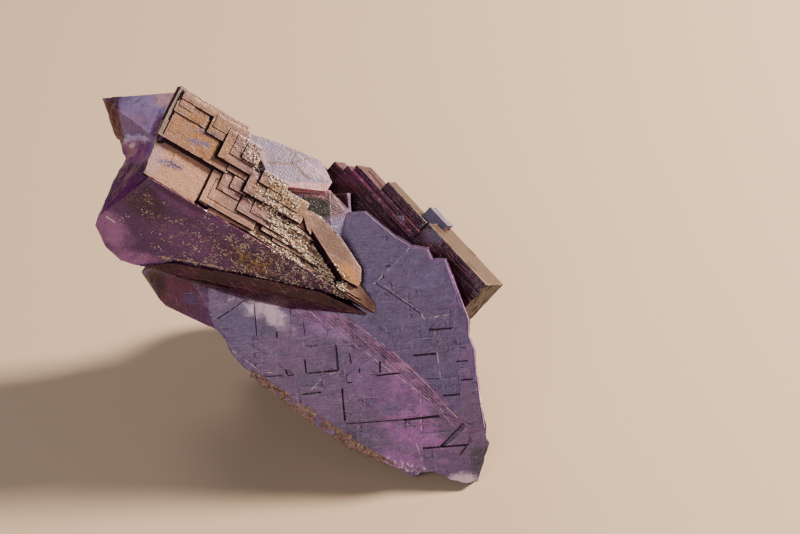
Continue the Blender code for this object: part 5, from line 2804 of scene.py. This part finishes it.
@dataclass(frozen=True)
class DarkGlass(Finish):
    """Near-black maroon glassy faces and step walls."""

    name: str = "dark_glass"
    base: Colour = glassy(42, 24, 34)
    maroon: Colour = glassy(64, 38, 48)
    ridge: Colour = glassy(168, 128, 136)
    violet: Colour = glassy(66, 38, 64)
    mauve: Colour = glassy(100, 64, 80)
    dusk: Colour = glassy(62, 50, 54)
    scratch: Colour = glassy(196, 160, 160)

    def paint(self, dresser: Dresser) -> None:
        """Paints the material.

        Args:
            dresser: The material.
        """
        graph = dresser.graph
        place = dresser.place(DARK)
        dresser.lay(graph.fade(graph.clouds(dresser.point, 3.2, 2.0), 0.48, 0.66), self.maroon)
        veil = graph.fade(graph.clouds(dresser.point, 5.0, 2.0), 0.56, 0.70)
        dresser.lay(veil, self.violet, 0.5)
        seen = dresser.place(UPRIGHT)
        within = (
            Zone((6.9, 15.4), (1.9, 1.6), self.mauve, 0.8, uneven=1.2, depth=FAR),
            Zone((3.6, 13.4), (2.0, 1.6), self.violet, 0.7, depth=FAR),
            Zone((25.0, 1.6), (1.6, 4.5), self.dusk, 0.7, turn=40.0, depth=FAR),
            Zone((18.9, 7.3), (2.3, 1.6), glassy(104, 98, 112), 0.9, depth=FAR),
        )
        dresser.zones(seen, within, grit=1.0)
        slope = dresser.place(APRON)
        wall = dresser.stroke_mask(slope, Stroke(((0.0, -0.4), (14.0, -0.6)), 1.6, self.base))
        near = graph.ramp(slope, OUTWARD, -3.0, -1.5)
        dresser.lay(graph.times(wall, near), glassy(50, 28, 46))
        dresser.mottle(0.2, 0.5)
        behind = graph.ramp(dresser.place(UPRIGHT), BACKWARD, -6.0, -4.0)
        ridges = graph.maths(
            "MAXIMUM",
            dresser.lines(place, UPWARD, 0.8, 0.11, 0.28),
            dresser.lines(place, (0.0, 0.96, 0.28), 1.5, 0.11, 0.36),
        )
        ridges = graph.times(ridges, behind)
        dresser.lay(ridges, self.ridge, 0.75)
        hair = graph.maths(
            "MAXIMUM",
            dresser.lines(slope, (0.35, 0.94, 0.0), 1.1, 0.06, 0.46),
            dresser.lines(slope, (-0.5, 0.86, 0.0), 1.7, 0.06, 0.50),
        )
        dresser.lay(hair, self.scratch, 0.5)
        dresser.lay(dresser.flecks(0.2, 0.16), self.ridge, 0.6)
        # Worn edges painted pale, partly a painted highlight.
        dresser.lay(dresser.mark("wear", 0.4), self.ridge, 0.5)
        dresser.shader.inputs["Specular IOR Level"].default_value = 0.38
        dresser.roughness(0.24, 0.2, 0.6)
        dresser.raise_by(dresser.grain(0.7, 0.12))
        dresser.raise_by(ridges, 0.05)
        CLEAR.fill(dresser, 0.36)


@dataclass(frozen=True)
class DuskySlope(Finish):
    """The dark slope under the stepped face: violet and clearer at its lower left."""

    name: str = "dusky_slope"
    base: Colour = glassy(88, 66, 98)
    black: Colour = glassy(52, 34, 52)
    violet: Colour = glassy(112, 82, 118)
    lobe: Colour = glassy(162, 126, 160)
    strip: Colour = glassy(68, 38, 72)
    speck: Colour = glassy(196, 170, 146)
    ochre: Colour = glassy(140, 116, 92)

    def paint(self, dresser: Dresser) -> None:
        """Paints the material.

        Args:
            dresser: The material.
        """
        place = dresser.place(APRON)
        dresser.zones(
            place,
            (
                Zone((24.0, -3.0), (14.0, 4.0), self.black, 0.8, turn=12.0),
                Zone((2.4, -4.6), (4.0, 3.0), self.black, 0.85),
                Zone((10.0, -6.5), (6.5, 2.6), self.violet, 0.7),
                Zone((7.0, -1.5), (7.0, 1.5), self.violet, 0.95),
                Zone((5.5, -1.0), (6.0, 0.8), self.strip, 0.9, feather=0.4),
                Zone((1.4, -2.4), (1.8, 1.0), self.black, 0.8),
                Zone((0.0, -10.6), (5.0, 3.2), self.lobe, 1.0, turn=-20.0),
                Zone((6.0, -12.8), (5.0, 1.9), self.lobe, 0.8, turn=20.0),
            ),
            grit=0.9,
        )
        dresser.veils(place, self.violet, self.black, 0.4)
        dresser.mottle(0.25, 0.6)
        flecks = self.lay_specks(dresser, place)
        scratches = dresser.lines(place, (0.2, 1.0, 0.0), 0.9, 0.03, 0.58)
        dresser.lay(scratches, self.speck, 0.35)
        foot = ((8.0, -10.7), (11.0, -9.3), (15.0, -7.7), (22.0, -5.2), (31.0, -2.2))
        ledge = Stroke(foot, 0.13, self.speck, 0.9, uneven=2.0, broken=0.4)
        glint = Stroke(((-1.1, -9.0), (0.3, -9.3)), 0.12, glassy(240, 226, 226), broken=0.3)
        dresser.strokes(place, (ledge, glint))
        dresser.roughness(0.24, 0.14, 0.8)
        dresser.raise_by(dresser.grain(0.5, 0.20))
        dresser.raise_by(flecks, 0.05)
        CLEAR.fill(dresser, 0.45)

    def lay_specks(self, dresser: Dresser, place: Socket) -> Socket:
        """Dusts the slope with cream and golden specks in streaky clouds.

        Args:
            dresser: The material.
            place: The surface point on the slope.

        Returns:
            Where the specks are.
        """
        graph = dresser.graph
        thick = graph.maths(
            "MAXIMUM",
            dresser.zone_mask(place, Zone((2.8, -4.4), (3.6, 2.2), self.speck, uneven=1.6)),
            dresser.zone_mask(place, Zone((17.0, -4.5), (15.0, 4.4), self.speck, uneven=1.8, turn=10.0)),
        )
        streaky = graph.vector("MULTIPLY", place, (0.7, 1.6, 1.0))
        cloudy = graph.fade(graph.clouds(streaky, 1.2, 3.0, 0.6), 0.46, 0.60)
        thick = graph.times(thick, cloudy)
        flecks = graph.times(thick, dresser.flecks(0.24, 0.55))
        dresser.lay(flecks, self.speck, 0.8)
        gold = dresser.zone_mask(place, Zone((19.0, -4.0), (4.5, 1.6), self.ochre, uneven=1.6))
        dresser.lay(graph.times(gold, dresser.flecks(0.5, 0.6)), self.ochre)
        return flecks


@dataclass(frozen=True)
class PaleFrost(Finish):
    """The pale lavender frosted crystal with dark red veins, and the hollow below it, painted near black as
    its shade.
    """

    name: str = "pale_frost"
    base: Colour = glassy(92, 80, 98)
    vein: Colour = glassy(60, 30, 38)
    blush: Colour = glassy(150, 108, 114)
    # Near-black tone painted as the shade in the hollow.
    green: Colour = glassy(24, 26, 26)
    dot: Colour = glassy(52, 36, 48)
    edge: Colour = glassy(214, 196, 196)

    def paint(self, dresser: Dresser) -> None:
        """Paints the material.

        Args:
            dresser: The material.
        """
        place = dresser.place(UPRIGHT)
        dresser.mottle(0.16, 2.6, 0.5)
        dresser.zones(
            place,
            (
                Zone((-5.4, 17.6), (2.4, 1.8), glassy(128, 100, 104), 0.8, uneven=1.2, depth=FAR),
                Zone((3.4, 16.0), (3.0, 1.6), glassy(132, 110, 124), 0.6, uneven=1.2, depth=FAR),
                Zone((1.6, 13.6), (4.6, 1.0), glassy(146, 108, 112), 0.95, feather=0.3, depth=FAR),
                Zone((3.0, 12.2), (2.6, 0.5), self.blush, 0.8, feather=0.3, depth=FAR),
                Zone((5.2, 11.6), (2.0, 2.2), glassy(56, 34, 44), 0.95, feather=0.4, uneven=0.8, depth=FAR),
                Zone((5.2, 8.0), (2.6, 1.9), glassy(78, 72, 96), 0.95, feather=0.4, depth=FAR),
                # Painted shade in the hollow under the pale crystal.
                Zone((2.0, 11.0), (3.4, 1.8), self.green, 1.0, feather=0.4, uneven=1.0, depth=FAR),
                Zone((19.0, 8.6), (3.6, 3.2), glassy(96, 92, 108), 1.0, feather=0.2, depth=FAR),
            ),
            grit=0.8,
        )
        veins = (
            Stroke(((-3.7, 17.0), (-0.9, 16.9), (1.4, 17.7)), 0.24, self.vein, 0.95, uneven=1.8),
            Stroke(((-1.3, 19.1), (-0.2, 18.3), (0.0, 17.3)), 0.26, self.vein, 1.0, uneven=1.8),
            Stroke(((0.0, 16.8), (0.9, 15.5), (1.7, 15.0)), 0.26, self.vein, 1.0, uneven=1.8),
            Stroke(((-1.5, 13.1), (4.6, 12.7)), 0.16, self.vein, 0.7),
        )
        dresser.strokes(place, veins)
        dresser.lay(dresser.flecks(0.30, 0.50), self.dot, 0.8)
        dresser.lay(dresser.flecks(0.3, 0.3), self.edge, 0.5)
        # Worn edges painted pale, partly a painted highlight.
        dresser.lay(dresser.mark("wear", 0.3), self.edge, 0.4)
        dresser.roughness(0.42, 0.14, 0.8)
        dresser.raise_by(dresser.grain(0.3, 0.18))
        CLEAR.fill(dresser, 0.2)


@dataclass(frozen=True)
class BrokenStone(Finish):
    """Hackly broken fluorite: the rims, the shoulder and the underside."""

    name: str = "broken_stone"
    base: Colour = glassy(68, 48, 66)
    brown: Colour = glassy(62, 46, 46)
    pale: Colour = glassy(116, 96, 110)
    gold: Colour = glassy(92, 76, 60)
    olive: Colour = shade(36, 30, 26)
    dark: Colour = glassy(36, 22, 30)

    def paint(self, dresser: Dresser) -> None:
        """Paints the material.

        Args:
            dresser: The material.
        """
        graph = dresser.graph
        dresser.lay(graph.fade(graph.clouds(dresser.point, 2.6, 3.0), 0.48, 0.62), self.brown)
        dresser.lay(graph.fade(graph.clouds(dresser.point, 1.3, 3.0), 0.58, 0.66), self.dark)
        dresser.lay(dresser.flecks(0.45, 0.3), self.pale, 0.6)
        dresser.lay(dresser.flecks(0.35, 0.3), self.gold, 0.8)
        bar_end = Zone((25.5, -1.6), (4.2, 3.8), self.olive, 0.9, feather=0.2, depth=FAR)
        seen = dresser.place(UPRIGHT)
        left_end = (
            Zone((-21.2, 22.4), (5.4, 6.4), glassy(106, 90, 122), 1.0, feather=0.2, depth=FAR),
            Zone((-21.6, 18.4), (3.2, 1.8), glassy(100, 60, 100), 0.9, feather=0.4, depth=FAR),
            Zone((-25.8, 23.2), (1.6, 5.8), glassy(66, 30, 42), 1.0, feather=0.3, depth=FAR, turn=12.0),
            Zone((-23.5, 12.5), (4.6, 5.5), glassy(80, 46, 76), 0.85, feather=0.4, depth=FAR),
        )
        dresser.zones(seen, left_end, grit=0.25)
        dresser.zones(seen, (bar_end,), grit=0.8)
        stripes = dresser.lines(dresser.place(DARK), UPWARD, 0.9, 0.16, 0.36)
        stripes = graph.times(stripes, dresser.zone_mask(seen, bar_end))
        dresser.lay(stripes, self.dark, 0.85)
        dresser.mottle(0.25, 0.7)
        # Worn edges painted pale, partly a painted highlight.
        dresser.lay(dresser.mark("wear", 0.2), self.pale, 0.35)
        dresser.roughness(0.34, 0.18, 0.7)
        dresser.raise_by(dresser.grain(0.7, 0.45))
        dresser.raise_by(stripes, -0.12)
        dresser.shader.inputs["Specular IOR Level"].default_value = 0.18
        CLEAR.fill(dresser, 0.1)


@dataclass(frozen=True)
class BrownMatrix(Finish):
    """Brown and golden crumbly matrix."""

    name: str = "brown_matrix"
    base: Colour = shade(134, 112, 104)
    gold: Colour = shade(152, 128, 112)
    dark: Colour = shade(70, 50, 50)
    pale: Colour = shade(200, 178, 168)
    bump: float = 0.6

    def paint(self, dresser: Dresser) -> None:
        """Paints the material.

        Args:
            dresser: The material.
        """
        graph = dresser.graph
        dresser.lay(graph.fade(graph.clouds(dresser.point, 0.9, 3.0), 0.50, 0.62), self.gold)
        dresser.lay(graph.fade(graph.clouds(dresser.point, 0.6, 3.0), 0.58, 0.68), self.dark)
        dresser.lay(dresser.flecks(0.3, 0.5), self.pale, 0.8)
        dresser.mottle(0.3, 0.3)
        dresser.roughness(0.72, 0.12, 0.4)
        dresser.raise_by(dresser.grain(0.3, 0.2))


@dataclass(frozen=True)
class DarkSeam(Finish):
    """The inside of open clefts, painted near black as their shade, with lighter dusty flecks."""

    name: str = "dark_seam"
    base: Colour = shade(44, 18, 30)
    dust: Colour = shade(86, 52, 56)
    bump: float = 0.6

    def paint(self, dresser: Dresser) -> None:
        """Paints the material.

        Args:
            dresser: The material.
        """
        dresser.lay(dresser.flecks(0.3, 0.3), self.dust, 0.5)
        dresser.mottle(0.2, 0.4)
        dresser.roughness(0.7, 0.1, 0.4)
        dresser.raise_by(dresser.grain(0.2, 0.05))


@dataclass(frozen=True)
class DruseSparkle(Finish):
    """White to golden tiny crystals."""

    name: str = "druse_sparkle"
    base: Colour = shade(232, 222, 208)
    cream: Colour = shade(186, 164, 146)
    gold: Colour = shade(180, 146, 102)
    bump: float = 0.6

    def paint(self, dresser: Dresser) -> None:
        """Paints the material.

        Args:
            dresser: The material.
        """
        graph = dresser.graph
        tint = graph.add("ShaderNodeAttribute", attribute_name="tint").outputs["Fac"]
        dresser.lay(graph.fade(tint, 0.1, 0.4), self.cream)
        dresser.lay(graph.fade(tint, 0.5, 0.7), self.gold)
        dresser.mottle(0.2, 0.25)
        dresser.roughness(0.22, 0.10, 0.3)
        dresser.raise_by(dresser.grain(0.15, 0.05))


@dataclass
class Studio:
    """The pale floor, the soft lights and the camera."""

    camera_spot: tuple[float, float, float] = (14.0, -311.0, 2.94)
    lens: float = 100.0
    sensor: float = 36.0
    floor_size: float = 6.0
    floor_tone: Colour = (0.50, 0.36, 0.24)

    def floor(self) -> bpy.types.Object:
        """Makes the plain pale floor.

        Returns:
            The floor.
        """
        half = self.floor_size / 2.0
        corners = [(-half, -half, 0.0), (half, -half, 0.0), (half, half, 0.0), (-half, half, 0.0)]
        mesh = bpy.data.meshes.new("floor")
        mesh.from_pydata(corners, [], [(0, 1, 2, 3)])
        floor = add_to_scene("floor", mesh)
        material = bpy.data.materials.new("pale_floor")
        material.use_nodes = True
        shader = material.node_tree.nodes["Principled BSDF"]
        shader.inputs["Base Color"].default_value = (*self.floor_tone, 1.0)
        shader.inputs["Roughness"].default_value = 0.85
        mesh.materials.append(material)
        return floor

    def camera(self) -> bpy.types.Object:
        """Makes the camera, level with the upright growth frame and looking along its Y.

        Returns:
            The camera.
        """
        data = bpy.data.cameras.new("camera")
        data.lens = self.lens
        data.sensor_width = self.sensor
        data.clip_start = 0.01
        camera = add_to_scene("camera", data)
        placed = growth_to_part() @ Matrix.Translation(self.camera_spot)
        turned = placed @ Matrix.Rotation(math.radians(90.0), 4, "X")
        camera.matrix_world = Matrix.Translation(turned.translation * METRES) @ turned.to_3x3().to_4x4()
        bpy.context.scene.camera = camera
        return camera

    def lamp(
        self, name: str, direction: Vector, distance: float, size: float, power: float, tone: Colour
    ) -> bpy.types.Object:
        """Makes one soft square lamp that faces the cluster.

        Args:
            name: Its name.
            direction: Where it stands, seen from the cluster.
            distance: How far away, in metres.
            size: Its side, in metres.
            power: Its power, in watts.
            tone: Its colour.

        Returns:
            The lamp.
        """
        data = bpy.data.lights.new(name, "AREA")
        data.size = size
        data.energy = power
        data.color = tone
        lamp = add_to_scene(name, data)
        aim = Vector((0.0, 0.0, 0.025))
        lamp.location = aim + direction.normalized() * distance
        lamp.rotation_euler = (aim - lamp.location).to_track_quat("-Z", "Y").to_euler()
        return lamp

    def world(self, tone: Colour, strength: float) -> None:
        """Sets a plain soft sky.

        Args:
            tone: Its colour.
            strength: How bright it is.
        """
        world = bpy.data.worlds.new("sky")
        world.use_nodes = True
        sky = world.node_tree.nodes["Background"]
        sky.inputs["Color"].default_value = (*tone, 1.0)
        sky.inputs["Strength"].default_value = strength
        bpy.context.scene.world = world

    def build(self) -> None:
        """Sets up everything around the cluster."""
        self.floor()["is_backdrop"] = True
        self.camera()
        self.lamp("key", Vector((0.90, 0.26, 0.40)), 0.60, 0.09, 18.0, (1.0, 0.88, 0.73))
        self.lamp("fill", Vector((-0.35, -0.90, 0.62)), 0.80, 0.34, 3.1, (0.97, 0.93, 1.0))
        self.lamp("back", Vector((-0.30, 0.90, 0.80)), 0.80, 0.30, 1.6, (1.0, 0.95, 0.90))
        self.world((0.90, 0.90, 1.0), 0.115)


def dress(stone: bpy.types.Object, effects: Effects) -> None:
    """Gives the stone one material for each kind of surface, in the slots' order.

    Args:
        stone: The stone.
        effects: The shared effects.
    """
    finishes = (
        TanFilm(),
        VioletFace(),
        DarkGlass(),
        DuskySlope(),
        PaleFrost(),
        BrokenStone(),
        BrownMatrix(),
        DarkSeam(),
    )
    for finish in finishes:
        stone.data.materials.append(finish.build(effects))


def keep_inside(piece: bpy.types.Object, box: Sequence[Sequence[float]]) -> None:
    """Holds a piece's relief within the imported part's own box.

    Args:
        piece: The piece.
        box: The box's two corners, in metres.
    """
    verts = piece.data.vertices
    spots = np.empty(len(verts) * 3, np.float32)
    verts.foreach_get("co", spots)
    held = np.clip(spots.reshape(-1, 3), *(np.array(corner, np.float32) for corner in box))
    verts.foreach_set("co", held.ravel())
    piece.data.update()


def report(piece: bpy.types.Object) -> None:
    """Logs a piece's name and size."""
    log.info("%s: %d faces", piece.name, len(piece.data.polygons))


def main() -> None:
    """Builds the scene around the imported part."""
    logging.basicConfig(level=logging.INFO, format="%(name)s: %(message)s")
    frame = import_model()
    cad_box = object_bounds()
    Studio().build()
    effects = Effects()
    stone = ClusterSkin().build(frame["nodes"][NODE])
    dress(stone, effects)
    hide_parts(NODE)
    druse = Druse(Ground.of(frame["nodes"][NODE])).build()
    druse.data.materials.append(DruseSparkle().build(effects))
    crust = MatrixCrust().build()
    matrix = stone.data.materials[Skin.MATRIX.value]
    for piece in crust:
        piece.data.materials.append(matrix)
    for piece in (stone, druse, *crust):
        keep_inside(piece, cad_box)
        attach(piece, BODY)
        report(piece)


if __name__ == "__main__":
    main()
